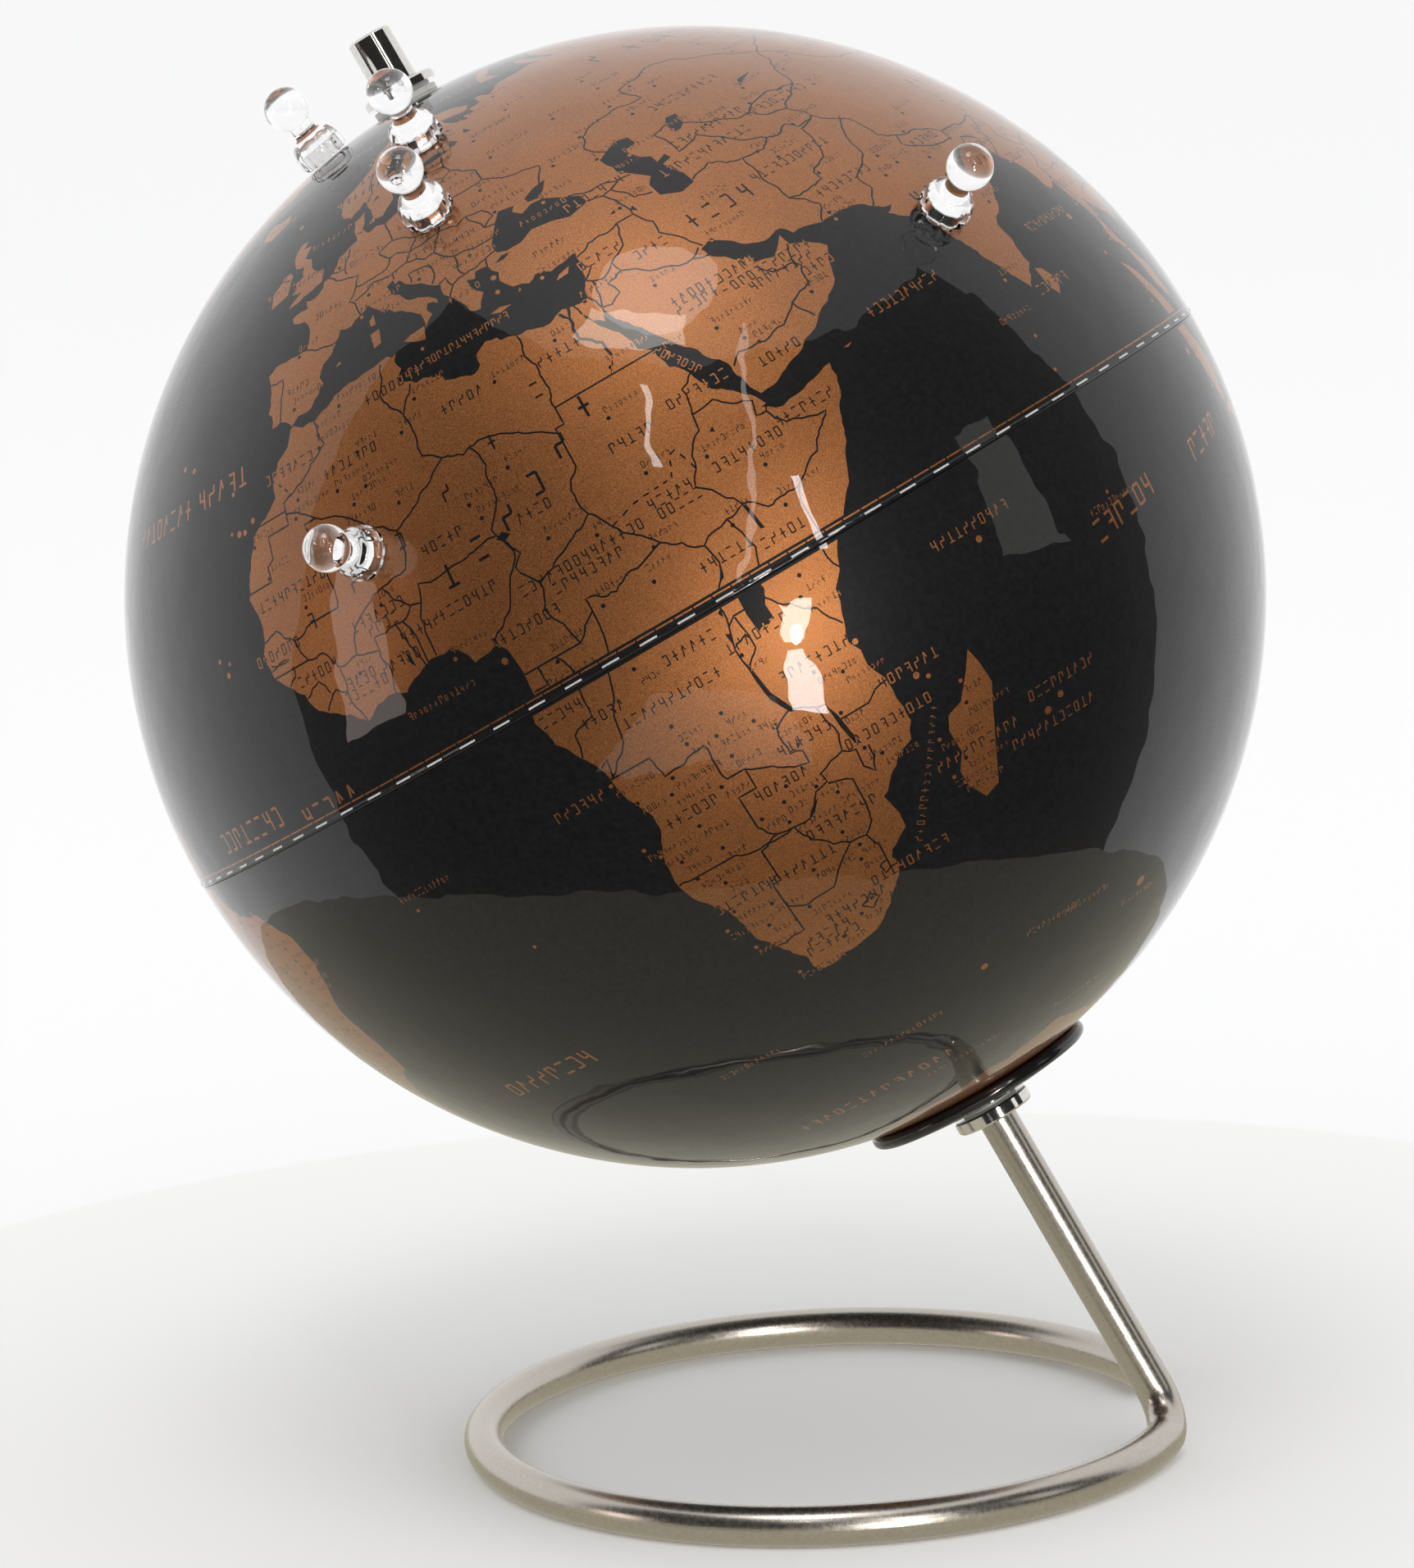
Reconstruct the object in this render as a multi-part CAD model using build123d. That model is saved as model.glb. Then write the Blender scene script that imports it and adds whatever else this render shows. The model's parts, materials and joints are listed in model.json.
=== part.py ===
"""Desktop globe on a bent-rod stand, with magnetic push pins, in millimetres.

+Z is up. The origin is the centre of the base ring, on the desk. The leg rises from the ring's
+X side and leans towards -X; the globe turns on the leg's own line.
"""

import math
import os

from build123d import *

# ---- driving dimensions -------------------------------------------------------------------
globe_r = 115.0            # outer radius of the printed steel ball
shell_t = 0.5              # sheet thickness of the two halves
tilt = 28.2                # lean of the leg and of the globe's axis from vertical, degrees
globe_height = 176.1       # height of the ball's centre over the desk

rod_r = 4.0                # the stand's round rod
ring_r = 71.5              # base ring, centre line
ring_end_angle = 31.0      # where the rod's free end lies on the ring, degrees from +X
bend_lead_angle = 8.0      # the rod leaves the ring this many degrees before +X
bend_r = 9.0               # centre-line radius of the bend between ring and leg

axle_r = 2.5               # M5 rod through the ball
axle_foot_gap = 1.0        # between the axle's foot and the bottom of its hole
axle_head_gap = 3.0        # between the axle's top and the finial's top
thread_depth = 16.0        # how far the axle screws into the leg
running_gap = 0.05         # radial clearance of the axle in its bushes
fixed_gap = 0.05           # radial clearance where two pieces are screwed or pressed together

hub_depth = 5.0            # how far the hubs reach inside the sheet
pole_hole_r = 7.0          # hole in each half at its pole
hub_r = 6.8                # plastic hub that fills the hole
bush_r = 4.5               # nylon bush inside the hub

seam_gap = 0.1             # gap at the equator between the rims of the halves
lip_gap = 0.1              # between the lip and the upper half's inside
lip_height = 5.0           # the lower half's stepped lip that slides inside the upper half
bead_height = 1.1          # rolled bead along the upper half's rim
bead_proud = 0.25
bead_flat = (0.2, 0.7)     # where the bead's flat crest starts and ends, share of its height

dish_r = 24.5              # black dish that covers the south pole
dish_t = 2.9
dish_rim_lift = 0.25       # the rim's crest stands this much nearer to the ball
dish_gap = 0.1             # between the dish and the ball
dish_flat_margin = 1.0     # flat of the dish round the collar
collar_r = 8.35            # steel collar that carries the globe's weight
collar_t = 2.8
washer_t = 0.8             # nylon thrust washers
washer_r = 6.0
axial_play = 0.3           # end play of the globe between its two thrust washers

bush_seat_gap = 0.25       # between the north bush's flange and the ball's pole
top_bush_flange_r = 6.6
top_bush_flange_t = 1.3
flange_r = 7.8             # steel washer under the finial
flange_t = 1.9
finial_r = 4.65
finial_h = 11.8
cap_t = 2.5                # solid end of the finial over its hole
turned_rim = 0.4           # chamfer on the turned steel pieces' rims
finial_chamfer = 0.5

pin_length = 17.0
pin_ball_r = 4.5
pin_neck_r = 2.3
pin_base_r = 5.3
pin_base_h = 6.4
pin_lift = 0.3             # gap between a pin's foot and the ball
magnet_r = 3.5
magnet_h = 3.0
magnet_gap = 0.05

# Where the five pins stand on the globe at rest: (latitude, longitude), degrees, where longitude
# is measured about the globe's axis from the side that faces +X.
pin_places = [(78.1, -129.3), (64.0, -77.2), (51.1, -80.7), (21.2, -29.9), (20.6, -102.1)]

# ---- derived places -----------------------------------------------------------------------
sin_tilt = math.sin(math.radians(tilt))
cos_tilt = math.cos(math.radians(tilt))
axis = Vector(-sin_tilt, 0, cos_tilt)
lead = math.radians(bend_lead_angle)
corner = Vector(ring_r / math.cos(lead), 0, rod_r)      # where the ring's tangent meets the leg's line
centre = corner + axis * ((globe_height - rod_r) / cos_tilt)
globe_frame = Plane(origin=centre, x_dir=(cos_tilt, 0, sin_tilt), z_dir=axis)

dish_bottom = globe_r + dish_gap + dish_t               # distances from the ball's centre, southward
lower_washer_top = dish_bottom + axial_play / 2
collar_top = lower_washer_top + washer_t
leg_top = collar_top + collar_t

bush_flange_top = globe_r + top_bush_flange_t           # distances from the ball's centre, northward
upper_washer_bottom = bush_flange_top + axial_play / 2
flange_bottom = upper_washer_bottom + washer_t
finial_bottom = flange_bottom + flange_t


def turned(*profile_points):
    """A solid of revolution about Z from (radius, height) points."""
    face = make_face(Polyline(*[(x, 0, z) for x, z in profile_points], close=True))
    return revolve(face, Axis.Z)


def disc(outer_r, inner_r, bottom, top):
    """A flat ring between two heights."""
    return turned((inner_r, bottom), (outer_r, bottom), (outer_r, top), (inner_r, top))


def on_sphere(radius, from_axis):
    """Height of a sphere's surface over its centre, at a distance from the axis."""
    return math.sqrt(radius * radius - from_axis * from_axis)


def sphere_edge(radius, start, end):
    """Arc of a sphere's profile in the XZ plane between two (radius, height) points."""
    middle = math.hypot(start[0] + end[0], start[1] + end[1])
    through = ((start[0] + end[0]) * radius / middle, 0, (start[1] + end[1]) * radius / middle)
    return ThreePointArc((start[0], 0, start[1]), through, (end[0], 0, end[1]))


def edge(start, end):
    """Straight edge in the XZ plane between two (radius, height) points."""
    return Line((start[0], 0, start[1]), (end[0], 0, end[1]))


def closed_solid(edges):
    """A solid of revolution about Z from a closed loop of edges in the XZ plane."""
    return revolve(make_face(edges), Axis.Z)


# ---- stand --------------------------------------------------------------------------------
def make_stand_rod():
    """One 8 mm rod: open base ring, bend and leg, its free end domed and its top drilled."""
    tangent = Vector(math.sin(lead), math.cos(lead), 0)
    turn = math.acos(tangent.dot(axis))
    setback = bend_r * math.tan(turn / 2)
    end = math.radians(ring_end_angle)
    start = Vector(ring_r * math.cos(end), ring_r * math.sin(end), rod_r)
    far_side = Vector(ring_r * math.cos(math.pi + end / 2), ring_r * math.sin(math.pi + end / 2), rod_r)
    ring_exit = Vector(ring_r * math.cos(lead), -ring_r * math.sin(lead), rod_r)
    bend_in = corner - tangent * setback
    bend_out = corner + axis * setback
    top = centre - axis * leg_top
    spine = Wire([
        Edge.make_three_point_arc(start, far_side, ring_exit),
        Edge.make_line(ring_exit, bend_in),
        Edge.make_tangent_arc(bend_in, tangent, bend_out),
        Edge.make_line(bend_out, top),
    ])
    start_dir = Vector(-math.sin(end), math.cos(end), 0)
    rod = sweep(Plane(origin=start, z_dir=start_dir) * Circle(rod_r), path=spine)
    dome = Pos(start) * Sphere(rod_r)
    hole = Cylinder(axle_r + fixed_gap, thread_depth, align=(Align.CENTER, Align.CENTER, Align.MIN))
    drilled = rod + dome - Plane(origin=top - axis * thread_depth, z_dir=axis) * hole
    return drilled


def make_axle_rod():
    """M5 rod from the leg through both poles into the finial, its two ends chamfered."""
    bottom = -(leg_top + thread_depth - axle_foot_gap)
    top = finial_bottom + finial_h - axle_head_gap
    tip = 0.6
    return turned(
        (0, bottom), (axle_r - tip, bottom), (axle_r, bottom + tip),
        (axle_r, top - tip), (axle_r - tip, top), (0, top),
    )


def make_seat_collar():
    """Turned steel collar on the end of the leg, with a small chamfer on both rims."""
    rim = turned_rim
    inner = axle_r + fixed_gap
    return turned(
        (inner, -leg_top), (collar_r - rim, -leg_top), (collar_r, -leg_top + rim),
        (collar_r, -collar_top - rim), (collar_r - rim, -collar_top), (inner, -collar_top),
    )


def make_finial_nut():
    """Smooth turned cap nut: chamfered cylinder with a blind threaded hole."""
    inner = axle_r + fixed_gap
    bore_top = finial_bottom + finial_h - cap_t
    top = finial_bottom + finial_h
    return turned(
        (inner, finial_bottom), (finial_r - finial_chamfer, finial_bottom),
        (finial_r, finial_bottom + finial_chamfer), (finial_r, top - finial_chamfer),
        (finial_r - finial_chamfer, top), (0, top), (0, bore_top), (inner, bore_top),
    )


def make_finial_flange():
    """Steel washer under the finial, its upper rim chamfered."""
    rim = turned_rim
    inner = axle_r + fixed_gap
    top = finial_bottom
    return turned(
        (inner, flange_bottom), (flange_r, flange_bottom), (flange_r, top - rim),
        (flange_r - rim, top), (inner, top),
    )


# ---- globe --------------------------------------------------------------------------------
def make_north_hemisphere():
    """Upper half of the ball: a pressed steel shell with a rolled bead along its rim."""
    inner_r = globe_r - shell_t
    outer_pole = (pole_hole_r, on_sphere(globe_r, pole_hole_r))
    inner_pole = (pole_hole_r, on_sphere(inner_r, pole_hole_r))
    low = seam_gap / 2
    bead_start = (on_sphere(globe_r, low + bead_height), low + bead_height)
    bead_top = (globe_r + bead_proud, low + bead_height * bead_flat[1])
    bead_low = (globe_r + bead_proud, low + bead_height * bead_flat[0])
    rim_out = (globe_r, low)
    rim_in = (on_sphere(inner_r, low), low)
    return closed_solid([
        sphere_edge(globe_r, outer_pole, bead_start),
        edge(bead_start, bead_top),
        edge(bead_top, bead_low),
        edge(bead_low, rim_out),
        edge(rim_out, rim_in),
        sphere_edge(inner_r, rim_in, inner_pole),
        edge(inner_pole, outer_pole),
    ])


def make_south_hemisphere():
    """Lower half of the ball, with a stepped lip that slides inside the upper half."""
    inner_r = globe_r - shell_t
    outer_pole = (pole_hole_r, -on_sphere(globe_r, pole_hole_r))
    inner_pole = (pole_hole_r, -on_sphere(inner_r, pole_hole_r))
    lip_out = on_sphere(inner_r, lip_height) - lip_gap
    lip_in = lip_out - shell_t
    low = -seam_gap / 2
    rim_out = (on_sphere(globe_r, low), low)
    inner_start = (on_sphere(inner_r, lip_height), -lip_height)
    return closed_solid([
        sphere_edge(globe_r, outer_pole, rim_out),
        edge(rim_out, (lip_out, low)),
        edge((lip_out, low), (lip_out, lip_height)),
        edge((lip_out, lip_height), (lip_in, lip_height)),
        edge((lip_in, lip_height), (lip_in, -lip_height / 2)),
        edge((lip_in, -lip_height / 2), inner_start),
        sphere_edge(inner_r, inner_start, inner_pole),
        edge(inner_pole, outer_pole),
    ])


def make_south_dish():
    """Black moulded dish that hugs the ball round the south pole, with a hub through the shell."""
    near_r = globe_r + dish_gap
    far_r = near_r + dish_t
    rim = dish_t / 2
    hub_top = -(globe_r - shell_t - hub_depth)
    bore = bush_r + fixed_gap
    near_hub = (hub_r, -on_sphere(near_r, hub_r))
    near_rim = (dish_r - rim, -on_sphere(near_r, dish_r - rim))
    far_rim = (dish_r - rim, -on_sphere(far_r, dish_r - rim))
    rim_mid = (dish_r, (near_rim[1] + far_rim[1]) / 2 + dish_rim_lift)
    flat_r = collar_r + dish_flat_margin
    far_flat = (flat_r, -on_sphere(far_r, flat_r))
    bottom = -dish_bottom
    return closed_solid([
        edge((bore, hub_top), (hub_r, hub_top)),
        edge((hub_r, hub_top), near_hub),
        sphere_edge(near_r, near_hub, near_rim),
        ThreePointArc((near_rim[0], 0, near_rim[1]), (rim_mid[0], 0, rim_mid[1]),
                      (far_rim[0], 0, far_rim[1])),
        sphere_edge(far_r, far_rim, far_flat),
        edge(far_flat, (collar_r, bottom)),
        edge((collar_r, bottom), (bore, bottom)),
        edge((bore, bottom), (bore, hub_top)),
    ])


def make_south_bush():
    """Nylon bush pressed into the dish's hub; the axle turns in it."""
    return disc(bush_r, axle_r + running_gap, -dish_bottom, -(globe_r - shell_t - hub_depth))


def make_north_bush():
    """Nylon bush in the north pole's hole, with a flange outside that carries the upper washer."""
    inner = axle_r + running_gap
    hub_bottom = globe_r - shell_t - hub_depth
    seat = on_sphere(globe_r, top_bush_flange_r) + bush_seat_gap
    bush_rim = top_bush_flange_r + 0.3
    return turned(
        (inner, hub_bottom), (hub_r, hub_bottom), (hub_r, seat), (bush_rim, seat),
        (bush_rim, bush_flange_top), (inner, bush_flange_top),
    )


def make_hub_clip(side):
    """Pressed spring-steel push nut that grips a hub just inside the shell: side 1 north, -1 south."""
    clip_r = 10.5
    clip_t = 0.6
    teeth = 6
    slot_depth = 1.8
    slot_width = 0.8
    shell_clearance = 0.1
    outer_face = on_sphere(globe_r - shell_t, clip_r) - shell_clearance
    height = outer_face - clip_t if side > 0 else -outer_face
    tooth_slot = Pos(hub_r + slot_depth / 2, 0, height + clip_t / 2) * Box(slot_depth, slot_width, clip_t * 3)
    clip = disc(clip_r, hub_r + fixed_gap, height, height + clip_t)
    for number in range(teeth):
        clip = clip - Rot(0, 0, number * 360 / teeth) * tooth_slot
    return clip


# ---- pins ---------------------------------------------------------------------------------
def make_pin_body():
    """Clear moulded push pin standing on z = 0: domed base, neck and round head."""
    head_z = pin_length - pin_ball_r
    neck_low = (pin_neck_r, pin_base_h + 1.2)
    neck_high_z = head_z - math.sqrt(pin_ball_r ** 2 - pin_neck_r ** 2)
    head_start = (pin_neck_r, neck_high_z)
    pocket_r = magnet_r + magnet_gap
    shoulder = (pin_base_r - 2.2, pin_base_h - 0.7)
    rim_low = (pin_base_r - 0.4, 0)
    rim_side = (pin_base_r, 0.5)
    rim_high = (pin_base_r, pin_base_h - 3.0)
    body = closed_solid([
        edge((pocket_r, 0), rim_low),
        edge(rim_low, rim_side),
        edge(rim_side, rim_high),
        ThreePointArc((rim_high[0], 0, rim_high[1]), (pin_base_r - 0.8, 0, pin_base_h - 1.6),
                      (shoulder[0], 0, shoulder[1])),
        edge(shoulder, neck_low),
        edge(neck_low, head_start),
        ThreePointArc((head_start[0], 0, head_start[1]), (pin_ball_r, 0, head_z), (0, 0, pin_length)),
        edge((0, pin_length), (0, magnet_h + magnet_gap)),
        edge((0, magnet_h + magnet_gap), (pocket_r, magnet_h + magnet_gap)),
        edge((pocket_r, magnet_h + magnet_gap), (pocket_r, 0)),
    ])
    return body


def make_pin_magnet():
    """Plated disc magnet in the pin's foot, its edges chamfered."""
    rim = 0.25
    return turned(
        (0, 0), (magnet_r - rim, 0), (magnet_r, rim), (magnet_r, magnet_h - rim),
        (magnet_r - rim, magnet_h), (0, magnet_h),
    )


def pin_plane(latitude, longitude):
    """Plane that a pin stands on, its normal pointing straight out of the globe."""
    lat = math.radians(latitude)
    lon = math.radians(longitude)
    outward = globe_frame.location * Pos(
        math.cos(lat) * math.cos(lon), math.cos(lat) * math.sin(lon), math.sin(lat))
    direction = Vector(outward.position) - centre
    return Plane(origin=centre + direction * (globe_r + pin_lift), z_dir=direction)


# ---- all nodes ----------------------------------------------------------------------------
os.makedirs("parts", exist_ok=True)

nodes = {"stand_rod": make_stand_rod()}
axis_pieces = {
    "axle_rod": make_axle_rod(),
    "seat_collar": make_seat_collar(),
    "lower_thrust_washer": disc(washer_r, axle_r + running_gap, -collar_top, -lower_washer_top),
    "upper_thrust_washer": disc(washer_r, axle_r + running_gap, upper_washer_bottom, flange_bottom),
    "finial_flange": make_finial_flange(),
    "finial_nut": make_finial_nut(),
    "north_hemisphere": make_north_hemisphere(),
    "south_hemisphere": make_south_hemisphere(),
    "south_dish": make_south_dish(),
    "south_bush": make_south_bush(),
    "north_bush": make_north_bush(),
    "south_hub_clip": make_hub_clip(-1),
    "north_hub_clip": make_hub_clip(1),
}
for name, piece in axis_pieces.items():
    nodes[name] = globe_frame.location * piece

for number, (latitude, longitude) in enumerate(pin_places, start=1):
    place = pin_plane(latitude, longitude)
    nodes[f"pin_{number}_body"] = place.location * make_pin_body()
    nodes[f"pin_{number}_magnet"] = place.location * make_pin_magnet()

for name, piece in nodes.items():
    export_step(piece, f"parts/{name}.step")
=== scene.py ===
"""Looks of a desktop globe on a bent-rod stand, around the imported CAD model, in metres.

The ball's two printed halves are built here as closed shells: a world map is cut into each half's
outer surface, region by region, so that every coast, border and mark is real geometry.
"""

import json
import math
import random

import bmesh
import bpy
from mathutils import Matrix, Vector
from mathutils.geometry import delaunay_2d_cdt


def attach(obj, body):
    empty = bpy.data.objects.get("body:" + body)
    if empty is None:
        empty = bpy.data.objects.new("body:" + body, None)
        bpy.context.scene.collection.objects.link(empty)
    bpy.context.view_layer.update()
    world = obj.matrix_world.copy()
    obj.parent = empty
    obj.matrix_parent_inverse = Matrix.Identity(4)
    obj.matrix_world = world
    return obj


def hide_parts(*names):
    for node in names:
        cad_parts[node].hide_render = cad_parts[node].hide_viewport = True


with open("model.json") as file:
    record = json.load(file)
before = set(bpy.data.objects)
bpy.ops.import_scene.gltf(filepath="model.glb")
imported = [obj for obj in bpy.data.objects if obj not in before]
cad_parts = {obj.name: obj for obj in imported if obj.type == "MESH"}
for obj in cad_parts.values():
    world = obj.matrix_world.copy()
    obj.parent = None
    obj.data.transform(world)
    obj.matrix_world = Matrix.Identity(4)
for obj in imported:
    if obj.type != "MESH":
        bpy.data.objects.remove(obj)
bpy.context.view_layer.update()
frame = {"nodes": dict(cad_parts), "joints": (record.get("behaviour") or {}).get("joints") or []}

MM = 0.001

# ---- the printed map: coasts, lakes and borders as (longitude, latitude), degrees ------------
AFRICA = [
    (-5.9, 35.8), (-5.3, 35.9), (-4, 35.2), (-2.9, 35.3), (-2, 35.1), (-.6, 35.7), (1.5, 36.5),
    (3, 36.8), (5, 36.8), (7.7, 37), (9.8, 37.3), (10.3, 36.9), (11, 37.1), (10.5, 36.3),
    (11.1, 35.2), (10.1, 34.2), (11, 33.6), (12.3, 32.8), (13.2, 32.9), (15.2, 32.3), (15.6, 31.4),
    (18, 30.6), (19, 30.3), (20, 30.9), (20.1, 32.1), (21.7, 32.9), (23, 32.6), (23.3, 32.1),
    (25.1, 31.6), (27.5, 31.2), (29, 30.9), (30, 31.3), (31, 31.6), (32.3, 31.3), (32.6, 30),
    (33.2, 28.6), (33.9, 27.1), (35.5, 24), (35.5, 23), (36.9, 22), (37.2, 19.6), (38.6, 18),
    (39.5, 15.6), (41.2, 14.4), (42.8, 12.7), (43.3, 11.6), (42.7, 11.5), (43.3, 11.2), (44.6, 10.5),
    (46.5, 10.8), (48, 11.2), (51.2, 11.9), (51, 10.4), (50.1, 8.4), (48.9, 6.5), (48, 4.6),
    (46.5, 3), (45.3, 2), (44, 1), (42.5, -.4), (41.5, -1.8), (40.2, -2.7), (39.6, -4.1),
    (38.8, -5.9), (39.5, -7), (39.4, -8.4), (40.4, -10.4), (40.6, -13), (40.8, -14.8), (40, -16.3),
    (37.4, -17.7), (35.9, -18.9), (34.8, -19.8), (35.1, -20.8), (35.5, -22.2), (35.5, -23.8),
    (33, -25.3), (32.6, -26), (32.9, -27), (32.4, -28.4), (31.1, -29.8), (30, -31.3), (28.4, -32.7),
    (27, -33.6), (25.6, -33.9), (22.2, -34.2), (20, -34.8), (18.5, -34.3), (18.3, -32.9),
    (18.2, -31.7), (17.2, -30), (16.4, -28.6), (15.2, -26.8), (14.8, -25), (14.5, -22.7),
    (13.3, -20.6), (12, -18.4), (11.7, -16.8), (12.4, -14), (13.7, -12), (13.8, -10.6), (13.1, -8.9),
    (12.3, -6.1), (11.8, -4.7), (10.7, -3.6), (9.5, -2.4), (8.8, -.7), (9.4, .3), (9.8, 2.4),
    (9.5, 4), (8.6, 4.6), (7, 4.4), (6, 4.3), (5.3, 5.4), (4.4, 6.3), (2.7, 6.3), (1.2, 6.1),
    (0, 5.6), (-2, 4.8), (-4, 5.3), (-5.8, 5), (-7.5, 4.4), (-9.2, 5.6), (-10.8, 6.4), (-12.6, 7.4),
    (-13.3, 8.5), (-13.5, 9.5), (-14.8, 10.7), (-16.7, 12.4), (-16.8, 13.4), (-17.4, 14.7),
    (-16.5, 16), (-16.1, 18.1), (-16.5, 19.6), (-17, 20.9), (-16.3, 22.6), (-15.3, 24.9),
    (-14.4, 26.3), (-12.9, 27.9), (-11, 28.8), (-9.8, 29.8), (-9.8, 31.4), (-8.6, 33.2),
    (-6.8, 34.1), (-6.2, 35.2),
]
EURASIA = [
    (-5.6, 36), (-6.3, 36.7), (-7.4, 37.2), (-8.9, 37), (-8.8, 38.4), (-9.4, 38.8), (-8.7, 41),
    (-8.9, 42.4), (-9.2, 43.1), (-7.9, 43.7), (-5.9, 43.6), (-3.8, 43.5), (-1.8, 43.4), (-1.2, 45.8),
    (-2.2, 47.2), (-4.4, 47.8), (-4.6, 48.5), (-2.9, 48.8), (-1.5, 48.7), (-1.8, 49.7), (.1, 49.5),
    (1.5, 50.2), (1.7, 50.9), (3.6, 51.4), (4.8, 53), (7, 53.6), (8.6, 53.9), (8.1, 55.6),
    (8.3, 57), (10.6, 57.7), (10.4, 56.4), (9.8, 55.2), (10.8, 54.1), (12.5, 54.4), (14.2, 53.9),
    (16.5, 54.5), (18.6, 54.7), (19.9, 54.5), (21, 55.5), (21.2, 57), (22.6, 57.7), (24, 57.1),
    (24.5, 58.3), (23.5, 59.2), (27, 59.4), (30.2, 59.9), (28, 60.5), (25, 60.2), (22.5, 60),
    (21.4, 61.5), (22.9, 63.7), (25.3, 65), (24, 65.8), (21.8, 65.2), (21, 64), (18, 62.6),
    (17.3, 60.8), (18.7, 60), (17.2, 58.8), (16.6, 57), (15, 56.1), (14.2, 55.4), (12.9, 55.5),
    (12, 57.4), (11.1, 59), (10.5, 59.5), (9.5, 58.8), (7.5, 58), (5.6, 58.8), (5, 60.6),
    (5.3, 62.1), (8.6, 63.5), (10.8, 64.6), (13, 66.3), (14.7, 68.1), (18, 69.5), (21, 70.1),
    (25, 71), (28.5, 71), (31, 70.3), (33, 69.4), (38, 68.5), (41, 67.2), (39.8, 66.2), (34.5, 66.7),
    (32.6, 67), (34.6, 64.8), (37.8, 63.9), (37.6, 65.1), (40.4, 64.7), (40, 66), (43.6, 66.2),
    (44, 68), (46, 67.8), (47, 66.9), (53, 68.7), (59, 68.7), (66, 69.2), (68.3, 68.4), (67, 70),
    (69, 72.7), (72.5, 72.7), (72, 69), (73.6, 68.2), (74, 70.6), (76, 72.2), (81, 73.6), (88, 75.2),
    (98, 76.3), (104, 77.7), (113, 76), (110, 74), (119, 73.1), (126, 73.5), (129, 71.7),
    (140, 72.4), (150, 71.5), (160, 69.8), (170, 69.9), (180, 68.9), (190, 66.1), (186.5, 64.4),
    (178.8, 64.7), (179.5, 62.5), (171, 60.2), (163.4, 59.6), (162.2, 56.3), (160, 53.2),
    (156.7, 51), (155.6, 54.5), (157, 57.8), (163.2, 62), (156.5, 61.6), (152, 59.1), (142.5, 59.3),
    (135.4, 54.8), (141.2, 53.2), (140.4, 48.4), (136, 44.4), (131.9, 43.2), (129.7, 41.4),
    (127.5, 39.7), (129.3, 37.1), (129.1, 35.2), (126.4, 34.5), (126.6, 37), (124.9, 38.3),
    (124.7, 39.7), (121.2, 38.8), (121.8, 40.8), (119, 39.2), (117.7, 38.7), (119, 37.3),
    (122.4, 37.1), (119.4, 35), (121.8, 32), (121.8, 29.5), (119.6, 26), (117, 23.6), (114, 22.4),
    (110.5, 21.2), (110.1, 20.4), (108.2, 21.6), (105.8, 19.3), (108.6, 15.8), (109.3, 12.6),
    (107, 10.5), (104.9, 8.7), (104.9, 10.2), (102.7, 11.6), (101, 12.7), (100.5, 13.5),
    (99.4, 10.5), (100.5, 7.2), (103.4, 4.6), (104.2, 1.4), (101.6, 2.8), (100.3, 6.1), (98.3, 8),
    (98.6, 12), (97.6, 16.5), (95.3, 15.8), (94.4, 16.4), (94.2, 19), (92.2, 21.2), (91.2, 22.8),
    (89, 21.8), (87, 21.2), (85.2, 19.5), (82.4, 16.7), (80.2, 15.4), (80.2, 13.2), (79.8, 10.4),
    (78.2, 8.8), (77.5, 8.1), (76.2, 10.2), (74.7, 13.2), (73.3, 16.5), (72.8, 19), (72.8, 21.3),
    (72, 21.2), (70.9, 20.8), (69, 22.2), (70.3, 22.9), (68.2, 23.7), (66.7, 24.9), (64, 25.3),
    (61.5, 25.1), (57.8, 25.7), (57, 27), (54.5, 26.6), (52, 27.9), (50.8, 29.2), (49.5, 30.1),
    (48, 29.6), (48.8, 27.8), (50.1, 26.5), (50.8, 24.8), (50.9, 25.8), (51.3, 26.1), (51.6, 24.9),
    (54, 24.2), (55.5, 25.5), (56.3, 26.3), (56.5, 24.7), (58.6, 23.6), (59.8, 22.5), (58.4, 20.4),
    (57.6, 18.9), (55.2, 17.3), (52.2, 15.6), (49, 14.2), (45, 12.8), (43.5, 12.7), (42.8, 15),
    (42.4, 17), (40.7, 19.7), (39, 21.8), (37.4, 24.4), (35.2, 28), (34.9, 29.5), (34.3, 27.8),
    (33.3, 28.6), (32.6, 30), (32.3, 31.3), (34.2, 31.3), (35, 33), (35.9, 35), (36.1, 36.7),
    (34.2, 36.3), (32.4, 36.1), (30.6, 36.8), (29.4, 36.2), (27.6, 36.8), (26.5, 38.3), (26.9, 39.3),
    (26.2, 40), (26.1, 40.7), (24.3, 40.9), (23.9, 40.1), (22.8, 40.5), (22.9, 39.4), (24.1, 38.1),
    (23.6, 37.6), (22.9, 36.5), (21.6, 36.9), (21.3, 38), (20.6, 39.1), (19.4, 40.4), (19.5, 41.8),
    (17.6, 42.9), (15, 44.3), (14.3, 45.2), (13.6, 45), (13.4, 45.7), (12.3, 45.3), (12.5, 44.1),
    (13.8, 43.4), (14.8, 42.1), (16.1, 41.8), (18.4, 40.3), (18.3, 39.9), (17, 40.5), (16.6, 39.8),
    (17.1, 39), (15.8, 38), (15.7, 39.7), (14.5, 40.7), (12.4, 41.7), (10.4, 43), (8.9, 44.4),
    (7.4, 43.8), (5.8, 43.1), (4, 43.5), (3.1, 42.4), (2.1, 41.3), (.6, 40.7), (-.3, 39.4), (.1, 38.7),
    (-.8, 37.7), (-2.1, 36.8), (-4.4, 36.7),
]
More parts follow.
